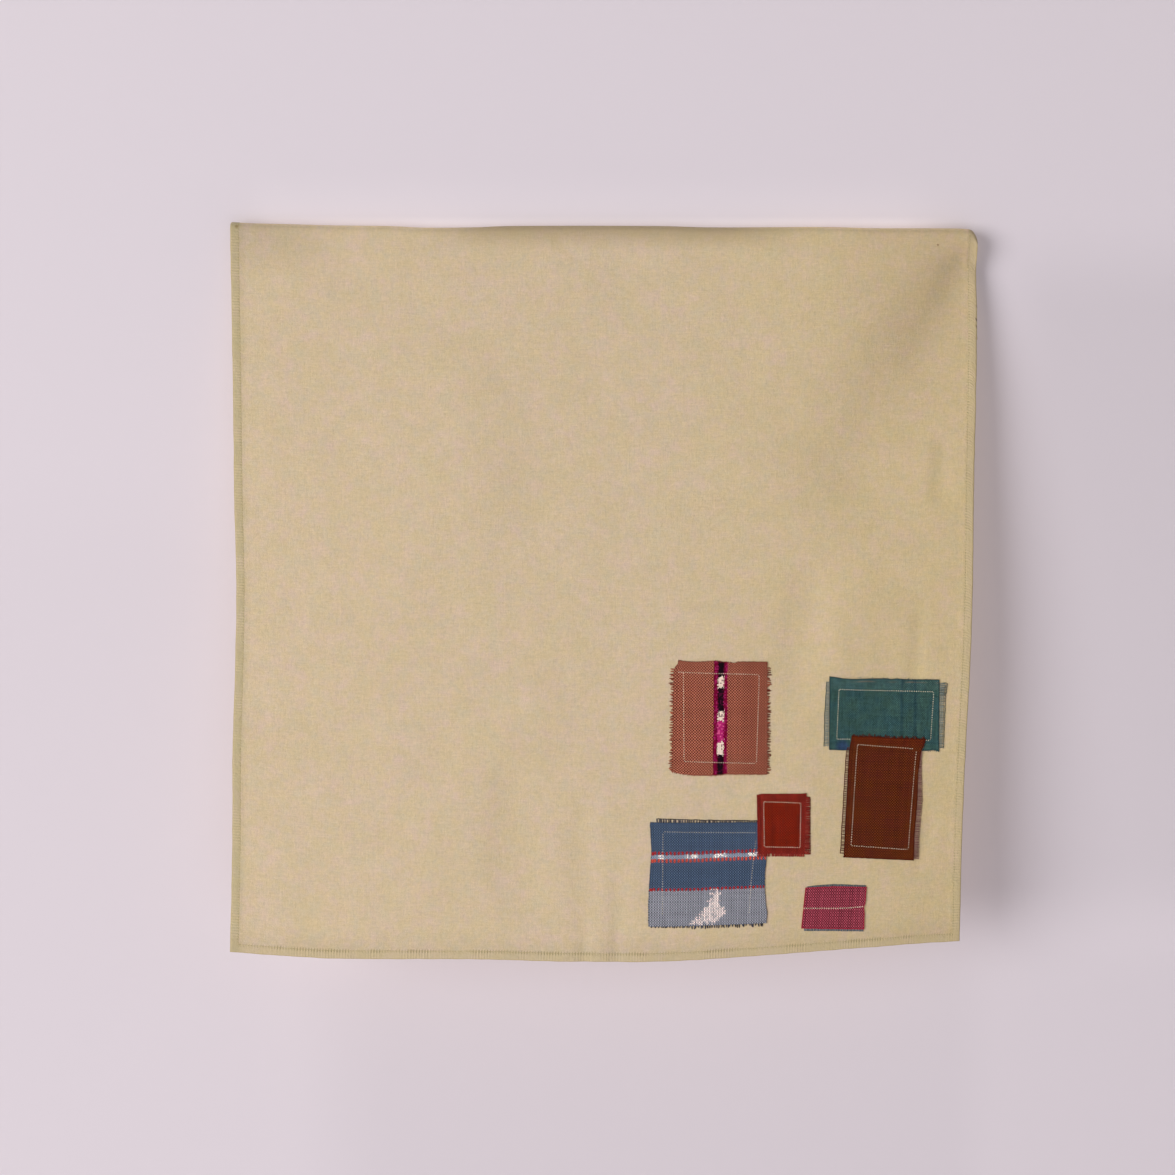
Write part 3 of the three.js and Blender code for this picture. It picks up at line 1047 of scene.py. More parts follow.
def makeEnds(scrap, material):
    chance = random.Random(scrap["seed"] + 50)
    width, length = scrapSize(scrap)
    rows = []
    for values in scrap["ends"]:
        edge = dict(zip(endColumns, values))
        sideLength = length if edge["side"] in ("left", "right") else width
        rows += layEnds(scrap, edge, sideLength, chance)
        for line in edge.get("lines", []):
            rows += layLine(scrap, edge, sideLength, chance, *line)
    return layThreads(scrap["name"] + "_ends", endLength, rows, material)


plainLook = {
    "roughness": 0.92,
    "sheen": 0.02,
    "wander": 0.5,
    "slubLength": 22,
    "slubBreadth": 1.3,
    "blotchSize": 22,
    "blotchContrast": 3,
    "blotch": 0.5,
    "warpUneven": 0.1,
    "weftUneven": 0.1,
    "speckle": 0.4,
    "warpSlub": 0.3,
    "weftSlub": 0.3,
    "relief": 0.25,
    "checks": 0,
    "columns": 0,
    "rows": 0,
    "bump": 0.2,
    "rimReach": (1.5, 0.2),
    "rimAmount": 0.5,
}
weaveShades = {
    "warpUneven": "Warp Chance",
    "weftUneven": "Weft Chance",
    "speckle": "Crossing",
    "relief": "Height",
    "checks": "Over",
    "columns": "Column",
    "rows": "Row",
}


def scrapMaterial(look, size):
    # two thread colours, uneven threads, streaks, flecks and blotches; pattern adds what is a scrap's own
    material, shader = newMaterial(look["name"], look["roughness"], look["sheen"])
    place = placeOnPiece(shader.id_data)
    gaps = {"Warp Gap": look["warpGap"], "Weft Gap": look["weftGap"]}
    weave = useGroup(weaveGroup, place, {**gaps, "Wander": look["wander"]})
    slubs = useGroup(slubGroup, place, {"Length": look["slubLength"], "Breadth": look["slubBreadth"]})
    blotch = blotchAt(place, look["blotchSize"], look["seed"], look["blotchContrast"])
    color = mixColors(weave["Over"], look["weft"], look["warp"])
    color = mixColors(blotch * look["blotch"], color, look["drift"])
    if "pattern" in look:
        color = look["pattern"](place, weave, color)
    shade = slubs["Warp"] * look["warpSlub"] + slubs["Weft"] * look["weftSlub"] + 1
    for name, label in weaveShades.items():
        shade = shade + (weave[label] - 0.5) * look[name]
    rim = fade(edgesAt(place, *size)["Inside"], *look["rimReach"]) * look["rimAmount"]
    color = mixColors(rim, shaded(color, shade), look["rim"])
    connect(shader, {"Base Color": color, "Normal": bumpFrom(weave["Height"], look["bump"] / 1000)})
    return material


creamThread = makeThreadMaterial("cream thread", paint(186, 172, 138), paint(236, 226, 202))

scraps = []


def sewOn(scrap, look):
    piece = makeScrap(scrap, scrapMaterial({**plainLook, **look}, scrapSize(scrap)))
    ends = makeEnds(scrap, makeThreadMaterial(scrap["name"] + " ends", *scrap["endTones"]))
    chance = random.Random(scrap["seed"])
    sewn = [
        sewSeam(scrap["name"] + name, scrap["seam"], heightAt, creamThread, chance, *scrap["stitch"], side)
        for name, heightAt, side in (
            ("_stitches", lambda *place: topHeight(scrap, *map(np.array, place)), 1),
            ("_stitches_behind", lambda *place: -clothSheet["thickness"], -1),
        )
    ]
    scraps.append((scrap, piece, ends, sewn))
    print(scrap["name"], "scrap: done")


# The salmon scrap, with a woven stripe down it

salmonScrap = {
    "name": "salmon",
    "seed": 11,
    "corners": [(65.8, 400.3), (154.0, 403.8), (154.8, 510.4), (64.3, 507.7)],
    "ragged": (0.5, 0.5, 0.15, 0.25),
    "edges": {
        "left": ([0, 0.03, 0.075, 0.1, 0.5, 0.95, 1], [-4.2, -3.4, 0, 0.6, 0.6, 0.6, 1]),
        "top": ([0, 0.25, 0.44, 0.62, 0.655, 0.67, 1], [0, -0.9, 0.5, -1.3, -1.6, -0.4, -0.2]),
        "bottom": ([0, 0.1, 0.25, 0.42, 0.57, 0.8, 1], [-3.4, -1.2, 0, 0.4, -0.8, -0.3, 0.1]),
    },
    "seam": [[(69.3, 411.2), (74.6, 411.4), (146.4, 415.8), (144.3, 499.6), (75.3, 494.9), (74.6, 411.4)]],
    "stitch": (2.1, 0.95, 1.1),
    "endTones": (paint(106, 36, 24), paint(176, 96, 70)),
    "ends": [
        ("left", 0.075, 0.99, 2.1, [0, 0.2, 0.3, 1], [4.6, 4.2, 3.2, 3.8], 0.4, 0.6, 1.25, (0, 1)),
        ("right", 0.06, 0.99, 2.2, [0, 0.3, 1], [4.6, 4, 4], 0.5, 0.5, 1.3, (0, 1)),
        ("bottom", 0.01, 0.99, 1.7, [0, 1], [1.3, 1.3], 0.2, 0.3, 0.9, (0, 0.8)),
        ("top", 0.01, 0.99, 1.7, [0, 1], [0.9, 0.9], 0.1, 0.3, 0.9, (0.2, 0.8)),
    ],
}
stripe = {
    "from": 38.4,
    "to": 51.6,
    "middleFrom": 42.0,
    "middleTo": 47.9,
    "jagged": {"Over": 0.9, "Weft Chance": 0.7},  # how far its sides stray
    "uneven": {"Warp Chance": 5.5, "Crossing": 2.5},  # how far the ends of its parts stray
    "deepAbove": 0.78,  # this share of the crossings shows the thread on top
    "deepAmount": 0.75,
    "pinkAbove": 0.7,
    "crimson": paint(112, 2, 44),
    "pink": paint(150, 30, 84),
    "black": paint(22, 4, 12),
    "plum": paint(70, 10, 40),
    "white": paint(236, 214, 196),
    "dusk": paint(96, 50, 58),
    "magenta": paint(176, 34, 104),
    "rose": paint(216, 92, 140),
    "shade": paint(104, 52, 38),  # the cloth right of it is a little darker
    "shadeReach": (52, 74),
    "shadeAmount": 0.22,
    # down the stripe, as shares of its length: the threads on top and the threads between them
    "parts": [
        (0, "black", "plum"), (0.127, "white", "dusk"), (0.222, "black", "plum"),
        (0.432, "white", "dusk"), (0.512, "magenta", "rose"), (0.698, "white", "rose"),
        (0.735, "white", "dusk"), (0.81, "black", "plum"),
    ],
}


def stray(weave, amounts):
    # around 0: chance values of the weave, each with its reach
    total = 0
    for label, amount in amounts.items():
        total = total + (weave[label] - 0.5) * amount
    return total


def stripePattern(place, weave, color):
    across, down, _ = split(place)
    jagged = across + stray(weave, stripe["jagged"])
    share = (down + stray(weave, stripe["uneven"])) / scrapSize(salmonScrap)[1]
    top = ramp(share, [(at, stripe[name]) for at, name, _ in stripe["parts"]], "CONSTANT")
    under = ramp(share, [(at, stripe[name]) for at, _, name in stripe["parts"]], "CONSTANT")
    deep = (weave["Crossing"] > stripe["deepAbove"]) * stripe["deepAmount"]
    middle = mixColors(deep, top, under)
    borders = mixColors(weave["Crossing"] > stripe["pinkAbove"], stripe["crimson"], stripe["pink"])
    color = mixColors(fade(across, *stripe["shadeReach"]) * stripe["shadeAmount"], color, stripe["shade"])
    color = mixColors(between(jagged, stripe["from"], stripe["to"]), color, borders)
    return mixColors(between(jagged, stripe["middleFrom"], stripe["middleTo"]), color, middle)


salmonLook = {
    "name": "salmon twill", "seed": 1.4, "pattern": stripePattern,
    "warp": paint(192, 118, 93), "weft": paint(58, 6, 2), "drift": paint(146, 70, 56), "blotch": 0.15,
    "rim": paint(110, 48, 34), "rimAmount": 0.3, "warpGap": 1.34, "weftGap": 1.34, "wander": 1.2,
    "warpUneven": 0.14, "weftUneven": 0.14, "speckle": 0.1, "relief": 0.3, "columns": 0.08,
}
sewOn(salmonScrap, salmonLook)


# The teal scrap

tealScrap = {
    "name": "teal",
    "seed": 12,
    "corners": [(213.3, 420.9), (320.2, 426.5), (323.0, 495.5), (214.4, 490.3)],
    "ragged": (0.12, 0.12, 0.1, 0.12),
    "edges": {
        "top": ([0, 0.05, 0.12, 0.2, 0.38, 0.52, 0.56, 0.6, 0.75, 0.9, 1],
                [0.9, 0.3, -0.8, -1.1, -0.1, 0.2, -0.5, 0.2, -0.4, 0, 0.1]),
        "bottom": ([0, 0.2, 0.9, 0.94, 0.97, 1], [-0.3, 0.3, 0, -0.7, -0.4, 0.9]),
    },
    "seam": [[(222.7, 432.6), (315.2, 438), (314.2, 484.8), (300, 484.5)],
             [(222.7, 432.6), (221.6, 480), (235, 480.5)]],
    "stitch": (2.2, 0.9, 1.1),
    "endTones": (paint(70, 84, 80), paint(160, 166, 156)),
    "ends": [
        ("left", 0.07, 0.95, 0.85, [0, 0.1, 0.5, 1], [2.6, 2.8, 4.6, 5.2], 0.85, 0.3, 0.5, (0.4, 1),
         [(0.35, 0.45, 0.8), (0.7, 0.45, 0.6), (0.97, 0.75, -0.2)]),
        ("right", 0.05, 0.95, 0.85, [0, 0.1, 0.2, 0.5, 1], [8.4, 8, 6.6, 5.8, 4.4], 0.85, 0.3, 0.5, (0.4, 1),
         [(0.3, 0.45, 0.8), (0.6, 0.45, 0.7), (0.97, 0.7, 0)]),
        ("right", 0.06, 0.2, 0.8, [0, 1], [7.8, 7.8], 0.7, 1.1, 0.6, (0.2, 0.5)),
        ("top", 0.3, 0.9, 9, [0, 1], [1.6, 1.6], 0.3, 1.5, 0.6, (0.5, 1)),
        ("bottom", 0.9, 1, 1.8, [0, 1], [1.8, 1.8], 0.3, 0.8, 0.6, (0, 0.6)),
    ],
}
tealMarks = {
    "paleTop": paint(112, 138, 132),
    "paleReach": (13, 8),
    "paleShares": (0.04, 0.15),  # everywhere, and more on the warp
    "waves": 0.045,  # the threads below wander
    "brownLine": 4.6,  # a paler, browner thread runs along the top
    "brownSway": 3,
    "brownReach": (1.1, 0.3),
    "brownWhere": (0.4, 0.6),
    "brownAmount": 0.7,
    "brown": paint(112, 104, 90),
    "dark": paint(34, 60, 70),
    "darkAt": (73.5, 86.5),  # two dark threads run down it
    "darkSway": 5,
    "darkReach": (2.2, 0.4),
    "darkAmount": 0.5,
    "blot": ((13, 66), 9, paint(44, 56, 104), 0.6),  # a blue blot
}


def tealStreaks(place, weave, color):
    across, down, _ = split(place)
    wave = cloudy(place, tealMarks["waves"])
    least, more = tealMarks["paleShares"]
    pale = fade(down, *tealMarks["paleReach"]) * (weave["Over"] * more + least)
    color = mixColors(pale, color, tealMarks["paleTop"])
    line = abs(down + wave * tealMarks["brownSway"] - tealMarks["brownLine"])
    brown = fade(line, *tealMarks["brownReach"]) * fade(wave, *tealMarks["brownWhere"])
    color = mixColors(brown * tealMarks["brownAmount"], color, tealMarks["brown"])
    for at in tealMarks["darkAt"]:
        line = abs(across + wave * tealMarks["darkSway"] - at)
        dark = fade(line, *tealMarks["darkReach"]) * tealMarks["darkAmount"]
        color = mixColors(dark, color, tealMarks["dark"])
    return addSpot(place, color, *tealMarks["blot"])


tealLook = {
    "name": "teal cotton", "seed": 4.4, "pattern": tealStreaks,
    "warp": paint(64, 94, 94), "weft": paint(34, 64, 68), "drift": paint(62, 88, 72), "blotchSize": 11,
    "rim": paint(34, 54, 58), "rimAmount": 0.75, "warpGap": 1.12, "weftGap": 1.12, "speckle": 0.4,
    "warpSlub": 0.8, "weftSlub": 0.5, "slubLength": 18, "slubBreadth": 1.8, "relief": 0.2,
}
sewOn(tealScrap, tealLook)


# The brown scrap, over the teal one's lower edge

brownScrap = {
    "name": "brown",
    "seed": 13,
    "over": tealScrap,
    "corners": [(234.3, 477.1), (307.2, 483.1), (300.7, 600.5), (230.2, 593.4)],
    "ragged": (0.15, 0.15, 0.5, 0.2),
    "edges": {
        "left": ([0, 0.04, 0.08, 0.12, 1], [-1.6, -1.4, -0.6, 0, 0]),
        "right": ([0, 0.03, 0.06, 0.1, 0.16, 0.3, 0.5, 0.8, 1],
                  [1.6, 1.4, 0.2, -1.6, -1.8, -2.4, -0.9, -1.0, 0]),
        "top": ([0, 0.04, 0.08, 0.3, 0.6, 0.93, 1], [0.6, 0.3, -0.2, 0.4, -0.3, 0.1, -0.2]),
    },
    "seam": [[(241.8, 485.8), (297.2, 492.2)],
             [(300.0, 494.4), (294.9, 589.8), (237.5, 582.5), (241.8, 485.8)]],
    "stitch": (2.35, 0.88, 1.25),
    "endTones": (paint(78, 28, 12), paint(158, 118, 108)),
    "ends": [
        ("left", 0.1, 0.97, 2.2, [0, 0.15, 1], [1.2, 2.8, 3.5], 0.92, 0.1, 0.95, (0, 0.25),
         [(0.97, 0.8, 0.05)]),
        ("right", 0.1, 0.99, 0.95, [0, 0.1, 0.3, 0.5, 1], [0, 0.6, 4.2, 5.6, 5.6], 0.88, 0.22, 0.72, (0.5, 1),
         [(0.3, 0.45, 0.7), (0.6, 0.45, 0.9), (0.9, 0.45, 0.8)]),
        ("top", 0.01, 0.99, 1.9, [0, 1], [2.8, 2.8], 0.1, 0.8, 1.1, (-0.2, 0.4)),
        ("right", 0.01, 0.08, 1.6, [0, 1], [1.8, 1.2], 0.2, 0.5, 0.9, (0, 0.3)),
        ("bottom", 0, 1, 1.6, [0, 1], [0.5, 0.5], 0.1, 0.2, 0.8, (-0.3, 0)),
    ],
}
brownTop = {"reach": (11, 4), "color": paint(110, 34, 8), "amount": 0.27}  # the upper end is redder


def brownTopPattern(place, weave, color):
    return mixColors(fade(split(place)[1], *brownTop["reach"]) * brownTop["amount"], color, brownTop["color"])


brownLook = {
    "name": "brown cotton", "seed": 6.1, "pattern": brownTopPattern,
    "warp": paint(24, 0, 0), "weft": paint(121, 58, 20), "drift": paint(82, 26, 26), "blotch": 0.4,
    "rim": paint(64, 8, 2), "rimAmount": 0.6, "warpGap": 1.3, "weftGap": 1.3, "wander": 1, "blotchSize": 13,
    "weftUneven": 0.2, "warpUneven": 0.2, "speckle": 0.15, "rows": 0.25,
}
sewOn(brownScrap, brownLook)


# The blue ribbed scrap, with cross stripes and a pale stepped wedge

blueScrap = {
    "name": "blue",
    "seed": 14,
    "corners": [(43.2, 551.2), (156.0, 555.6), (154.6, 651.4), (42.0, 648.9)],
    "ragged": (0.2, 0.2, 0.2, 0.25),
    "edges": {
        "left": ([0, 0.28, 0.4, 0.6, 0.8, 1], [0, -1.9, -1.2, -0.1, 0.5, 0.3]),
        "right": ([0, 0.36, 0.48, 0.65, 0.8, 0.9, 1], [0, -0.8, -2.2, -2.2, -1.0, 0.7, 0]),
    },
    "seam": [[(144.2, 565.0), (55.5, 560.3), (55.1, 638.2)],
             [(144.3, 572.0), (141.9, 589.0), (139.7, 613.9), (137.9, 641.2)]],
    "stitch": (2.3, 0.8, 1.45),
    "endTones": (paint(38, 34, 40), paint(84, 92, 112)),
    "ends": [
        ("top", 0.06, 0.93, 2.2, [0, 0.3, 0.6, 1], [3.8, 3, 2.2, 1.4], 0.85, 0.3, 1.1, (0, 0.6),
         [(0.92, 0.8, 0.1)]),
        ("bottom", 0.03, 0.97, 2.2, [0, 0.25, 0.4, 1], [1.8, 2, 3.4, 3.4], 0.5, 0.6, 1.2, (0, 0.5)),
        ("left", 0.02, 0.98, 1.2, [0, 1], [0.7, 0.7], 0.3, 0.2, 0.8, (0.6, 1)),
        ("right", 0.42, 0.98, 1.6, [0, 1], [0.7, 0.7], 0.3, 0.2, 0.8, (0.6, 1)),
    ],
}
bands = {
    "blue": paint(62, 79, 102),
    "greyBlue": paint(142, 142, 149),
    "pale": paint(166, 176, 190),
    "white": paint(238, 234, 226),
    "red": paint(162, 44, 44),
    "coral": paint(196, 76, 58),
    "wedge": paint(222, 207, 202),
    "rise": 0.03,  # the bands rise to the right by this share
    # down the scrap, as shares of its length
    "grounds": [(0, "blue"), (0.313, "pale"), (0.352, "blue"), (0.655, "greyBlue")],
    "groundShares": (0.55, 0.3),  # of the ground, and more from the grey blue one on
    "greyFrom": 0.655,
    "dashes": [(0.284, 0.316, "red"), (0.353, 0.387, "coral"), (0.634, 0.660, "red")],
    "dashGap": 3.8,
    "dashShare": 0.54,
    "closedUpTo": 5,  # the dashes close up left of this, by this much
    "closedUpBy": 0.4,
    "whiteBand": (0.313, 0.352),
    "whiteAbove": 0.4,  # white shows at the crossings with a chance above this
    # white marks in the pale band: share across and reach
    "marks": [(0.1, 0.03), (0.355, 0.05), (0.594, 0.055), (0.87, 0.045)],
    "markSoft": (1.25, 0.6),  # they fade between these shares of the reach
    # the wedge's two sides, row by row: share down, then share across
    "wedgeRows": (0.657, 0.978),
    "wedgeShares": (0.4, 0.5),  # how solid it is, and how much more at most crossings
    "wedgeAbove": 0.15,
    "stray": {"bands": 0.008, "rows": 0.03, "left": 0.05, "right": -0.03},
    "wedgeLeft": [(0.655, 0.55), (0.73, 0.515), (0.8, 0.488), (0.84, 0.462), (0.9, 0.425),
                  (0.93, 0.38), (0.98, 0.335)],
    "wedgeRight": [(0.655, 0.58), (0.69, 0.604), (0.76, 0.6), (0.81, 0.61), (0.84, 0.64), (0.905, 0.642),
                   (0.935, 0.595), (0.98, 0.55)],
}


def wedgeSide(row, stops):
    return ramp(row, [(at, grayPaint(level)) for at, level in stops])


def bandPattern(place, weave, color):
    width, length = scrapSize(blueScrap)
    across, down, _ = split(place)
    u, v = across / width, down / length
    strays = bands["stray"]
    v = v + u * (1 - v) * bands["rise"] + stray(weave, {"Warp Chance": strays["bands"]})
    grounds = ramp(v, [(at, bands[name]) for at, name in bands["grounds"]], "CONSTANT")
    least, more = bands["groundShares"]
    color = mixColors((v > bands["greyFrom"]) * more + least, color, grounds)
    outer, inner = bands["markSoft"]
    marks = sum(fade(abs(u - at), reach * outer, reach * inner) for at, reach in bands["marks"])
    white = between(v, *bands["whiteBand"]) * marks * (weave["Crossing"] > bands["whiteAbove"])
    color = mixColors(white, color, bands["white"])
    dashShare = (across < bands["closedUpTo"]) * bands["closedUpBy"] + bands["dashShare"]
    dash = calc("FRACT", across / bands["dashGap"]) < dashShare
    for top, bottom, name in bands["dashes"]:
        color = mixColors(dash * between(v, top, bottom), color, bands[name])
    row = v + stray(weave, {"Warp Chance": strays["rows"]})
    left = wedgeSide(row, bands["wedgeLeft"]) + stray(weave, {"Weft Chance": strays["left"]})
    right = wedgeSide(row, bands["wedgeRight"]) + stray(weave, {"Weft Chance": strays["right"]})
    least, more = bands["wedgeShares"]
    solid = (weave["Crossing"] > bands["wedgeAbove"]) * more + least
    inWedge = between(u, left, right) * between(row, *bands["wedgeRows"]) * solid
    return mixColors(inWedge, color, bands["wedge"])


blueLook = {
    "name": "blue rib", "seed": 8.8, "pattern": bandPattern,
    "warp": paint(90, 104, 127), "weft": paint(40, 54, 73), "drift": paint(70, 82, 98), "blotchSize": 14,
    "blotch": 0.25, "rim": paint(46, 58, 80), "rimAmount": 0.3, "warpGap": 1.22, "weftGap": 1.22, "bump": 0.3,
    "warpUneven": 0.16, "weftUneven": 0.16, "speckle": 0.15, "relief": 0.3, "checks": 0.95, "columns": 0.42,
}
sewOn(blueScrap, blueLook)


# The red scrap, over the blue one's corner

redScrap = {
    "name": "red",
    "seed": 15,
    "over": blueScrap,
    "corners": [(144.8, 528.4), (192.8, 530.8), (191.8, 588), (146.1, 584.9)],
    "ragged": (0.15, 0.2, 0.15, 0.2),
    "edges": {"top": ([0, 0.05, 0.12, 0.9, 1], [-1, -0.4, 0, 0.2, 0.6])},
    "seam": [[(151.6, 536.2), (187.5, 539.2), (187.2, 581.6), (152.2, 578.8), (151.6, 536.2)]],
    "stitch": (2.1, 0.95, 1.1),
    "endTones": (paint(106, 24, 18), paint(168, 68, 54)),
    "ends": [
        ("right", 0.06, 1, 0.6, [0, 0.1, 0.6, 1], [3.6, 4.4, 5.4, 6.2], 0.88, 0.25, 0.85, (0.1, 0.8),
         [(0.25, 0.5, 0.2), (0.55, 0.5, 0.9), (0.85, 0.5, 0.3)]),
        ("bottom", 0, 0.25, 0.62, [0, 1], [3, 3], 0.8, 0.3, 0.85, (0.1, 0.9), [(0.6, 0.5, 0.6)]),
        ("bottom", 0.3, 1, 0.62, [0, 1], [3, 3], 0.8, 0.3, 0.85, (0.1, 0.9), [(0.6, 0.5, 0.6)]),
    ],
}
redMargin = {"reach": (7.2, 5.6), "color": paint(122, 38, 34), "amount": 0.5}  # outside the stitches, pinker


def redPattern(place, weave, color):
    margin = fade(edgesAt(place, *scrapSize(redScrap))["Inside"], *redMargin["reach"])
    return mixColors(margin * redMargin["amount"], color, redMargin["color"])


redLook = {
    "name": "red cotton", "seed": 3.3, "pattern": redPattern,
    "warp": paint(134, 36, 12), "weft": paint(56, 2, 0), "drift": paint(122, 34, 22), "blotch": 0.3,
    "rim": paint(122, 36, 32), "warpGap": 1.28, "weftGap": 1.26, "blotchSize": 12, "warpUneven": 0.4,
    "warpSlub": 1.1, "weftSlub": 0.6, "speckle": 0.5, "relief": 0.15, "checks": 0.85,
}
sewOn(redScrap, redLook)


# The magenta scrap, held by one line of stitches

magentaScrap = {
    "name": "magenta",
    "seed": 16,
    "corners": [(192.7, 620.2), (253.5, 623.1), (251.4, 664.1), (188.8, 658.8)],
    "ragged": (0.12, 0.12, 0.15, 0.15),
    "edges": {
        "right": ([0, 0.4, 0.47, 0.6, 1], [0.1, -0.2, -1.6, -0.6, 0]),
        "top": ([0, 0.2, 0.45, 1], [0, 0.5, 1, 0]),
    },
    "seam": [[(190.7, 639.6), (221.0, 641.7), (234.7, 642.3), (250.4, 641.9)]],
    "stitch": (2.2, 1.05, 0.85),
    "endTones": (paint(74, 86, 96), paint(116, 124, 134)),
    "ends": [
        ("top", 0.03, 0.98, 0.85, [0, 0.2, 0.6, 1], [0.9, 1.8, 2, 1.4], 0.85, 0.1, 0.7, (0, 1),
         [(0.8, 0.5, 0.3)]),
        ("bottom", 0.05, 0.99, 0.85, [0, 1], [2.5, 2.1], 0.88, 0.1, 0.7, (0.3, 1), [(0.8, 0.5, 0.3)]),
    ],
}
magentaLook = {
    "name": "magenta cotton", "seed": 7.7,
    "warp": paint(180, 84, 100), "weft": paint(74, 0, 16), "drift": paint(140, 46, 64), "blotch": 0.2,
    "rim": paint(164, 18, 44), "rimAmount": 0.7, "warpGap": 1.18, "weftGap": 1.3, "warpUneven": 0.3,
    "weftUneven": 0.15, "speckle": 0.1, "relief": 0.2, "columns": 0.45,
}
sewOn(magentaScrap, magentaLook)


# The hem's machine stitches, on both faces


def makeHemStitches():
    inset = hemSeam["inset"]
    side = halfWidth - inset
    low = hang["frontDrop"] - inset
    high = inset - frontStart
    corners = [(-side, high), (-side, low), (side, low), (side, high), (-side, high)]
    paths = [[here, there] for here, there in zip(corners[:-1], corners[1:])]
    thread = makeThreadMaterial("hem thread", hemSeam["dark"], hemSeam["light"])
    size = hemSeam["pitch"], hemSeam["width"], hemSeam["gap"]
    chance = random.Random(hemSeam["seed"])
    outer = hemSeam["up"] - clothSheet["seamDip"]
    inner = hemSeam["upBehind"] - clothSheet["hemThickness"]
    outside = sewSeam("hem_stitches", paths, lambda *place: outer, thread, chance, *size)
    behind = sewSeam("hem_stitches_behind", paths, lambda *place: inner, thread, chance, *size, side=-1)
    return outside, behind


hemStitches = makeHemStitches()
for template in (stitchLength, endLength):
    bpy.data.objects.remove(template)
print("hem: stitched")


# What each piece is to the frame

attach(cloth, "root")
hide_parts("cloth")
for piece in hemStitches:
    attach(piece, "root")

for scrap, piece, ends, sewn in scraps:
    for part in (piece, ends):
        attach(part, "root")
    for part in sewn:
        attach(part, "root")
    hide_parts("patch_" + scrap["name"])


# The studio: a pale wall that leans back below, a floor far down, soft lights

studio = {
    "wall": paint(217, 208, 214),
    # painted shadow on the wall close to the cloth, or with a minus painted light that lightens the cloth's
    # shadow: where across, where up, how much
    "dims": [
        ((0.34, 0.44), (-0.7, -0.6, -0.08, 0.02), 0.09),  # beside the right edge
        ((-0.36, -0.2), (-0.66, -0.74), 0.07),  # below
        ((0.34, 0.4), (-0.66, -0.74), -0.035),
        ((-0.3, -0.36), (-0.2, -0.34), 0.02),  # beside the left edge
        ((-0.35, -0.31, 0.27, 0.345), (-0.06, -0.02, 0.004, 0.0135), -0.2),  # close above the fold
        ((-0.35, -0.31, 0.27, 0.345), (-0.06, -0.02, 0.012, 0.06), -0.05),
    ],
    "glow": 0.16,  # so that the wall stays even and its shadows soft
    "wallTop": 0.0135,
    "wallLean": 0.14,
    "wallHeight": 2.4,
    "floorDrop": 3.2,
    "half": 5,
}
lamps = {
    # place, size across, watts
    "key": ((-6.75, -6.15, -0.6), 6.0, 741),
    "fill": ((0.6, -4.2, -2.4), 3.0, 31),
    "back": ((1.2, 3.4, 0.9), 2.6, 90),
}
lampAim = Vector((0, 0, -0.34))
air = {"color": (1, 1, 1, 1), "strength": 0.23}


def makeStage(name, low, high, material):
    # a wide plane between a lower and an upper edge, each (y, z)
    deselectAll()
    bpy.ops.mesh.primitive_plane_add(size=2)
    piece = bpy.context.object
    piece.name = name
    for vertex in piece.data.vertices:
        vertex.co = (math.copysign(studio["half"], vertex.co.x), *(high if vertex.co.y > 0 else low))
    piece.data.materials.append(material)


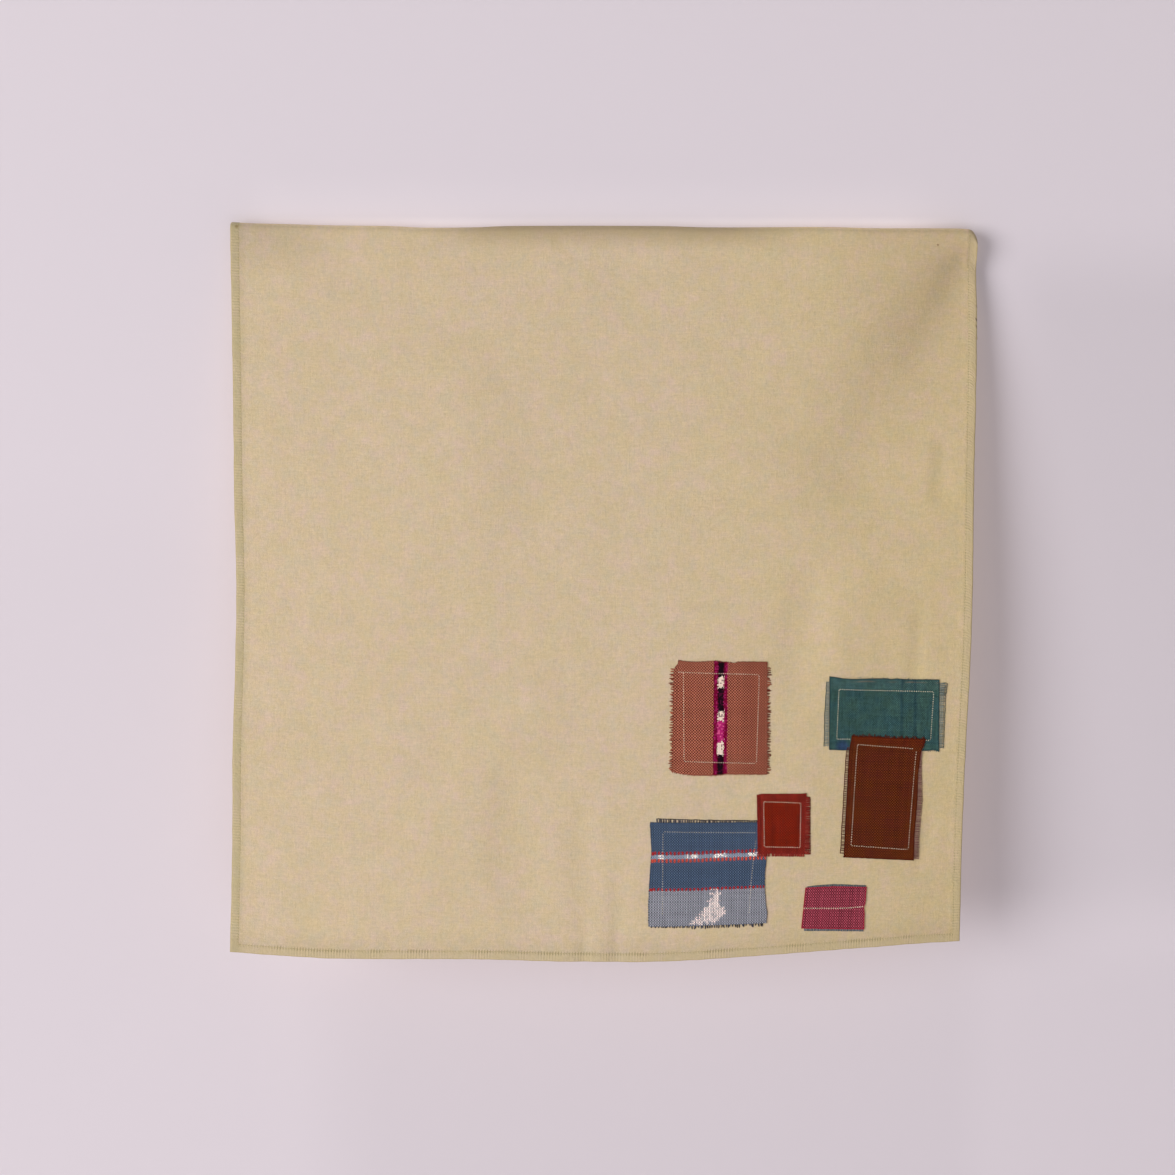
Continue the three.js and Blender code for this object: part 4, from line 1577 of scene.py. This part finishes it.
def makeStudioMaterial():
    # clear from behind and to light, so that the back can be lit and seen
    material, shader = newMaterial("pale wall", 1, specular=0)
    tree = material.node_tree
    across, _, up = split(addNode(tree, "TexCoord")["Object"])
    # painted shadow and painted light on the wall
    dim = 1
    for acrossReach, upReach, amount in studio["dims"]:
        dim = dim - window(across, *acrossReach) * window(up, *upReach) * amount
    color = shaded(studio["wall"], dim)
    body = tinted(color, 1, grayPaint(1 - studio["glow"]))
    connect(shader, {"Base Color": body, "Emission Color": color, "Emission Strength": studio["glow"]})
    fromBehind = addNode(tree, "NewGeometry")["Backfacing"]
    clear = calc("MAXIMUM", fromBehind, addNode(tree, "LightPath")["Is Shadow Ray"])
    shaders = {0: clear, 1: Wire(shader.outputs[0]), 2: addNode(tree, "BsdfTransparent")[0]}
    connect(tree.nodes["Material Output"], {0: addNode(tree, "MixShader", shaders)[0]})
    return material


def makeStudio():
    lean, drop, high = studio["wallLean"], studio["floorDrop"], studio["wallHeight"]
    foot = studio["wallTop"] + drop * lean
    material = makeStudioMaterial()
    makeStage("backdrop", (foot, -drop), (studio["wallTop"] - high * lean, high), material)
    makeStage("floor", (foot - 2 * studio["half"], -drop), (foot, -drop), material)


def addLamp(name, place, size, power):
    data = bpy.data.lights.new(name, "AREA")
    data.shape = "DISK"
    data.size = size
    data.energy = power
    lamp = addObject(name, data)
    lamp.visible_camera = False
    lamp.location = place
    lamp.rotation_euler = (lampAim - Vector(place)).to_track_quat("-Z", "Y").to_euler()


def lightAir():
    world = bpy.data.worlds.new("studio air")
    bpy.context.scene.world = world
    world.use_nodes = True
    tree = world.node_tree
    lit = tree.nodes["Background"]
    connect(lit, {0: air["color"], 1: air["strength"]})
    seen = addNode(tree, "Background", {0: studio["wall"], 1: 1})[0]
    rays = addNode(tree, "LightPath")
    looked = calc("MAXIMUM", rays["Is Glossy Ray"], rays["Is Transmission Ray"])
    looked = calc("MAXIMUM", rays["Is Camera Ray"], looked)
    shaders = {0: looked, 1: Wire(lit.outputs[0]), 2: seen}
    connect(tree.nodes["World Output"], {0: addNode(tree, "MixShader", shaders)[0]})


makeStudio()
for name, (place, size, power) in lamps.items():
    addLamp(name, place, size, power)
lightAir()

view = {"place": (-0.0154, -2.0072, -0.3384), "tilt": 90, "lens": 65.45, "sensor": 36}
cameraData = bpy.data.cameras.new("camera")
camera = addObject("camera", cameraData)
cameraData.lens = view["lens"]
cameraData.sensor_width = view["sensor"]
camera.location = view["place"]
camera.rotation_euler = (math.radians(view["tilt"]), 0, 0)
bpy.context.scene.camera = camera
bpy.context.scene.view_settings.view_transform = "Standard"
print("studio: lit")
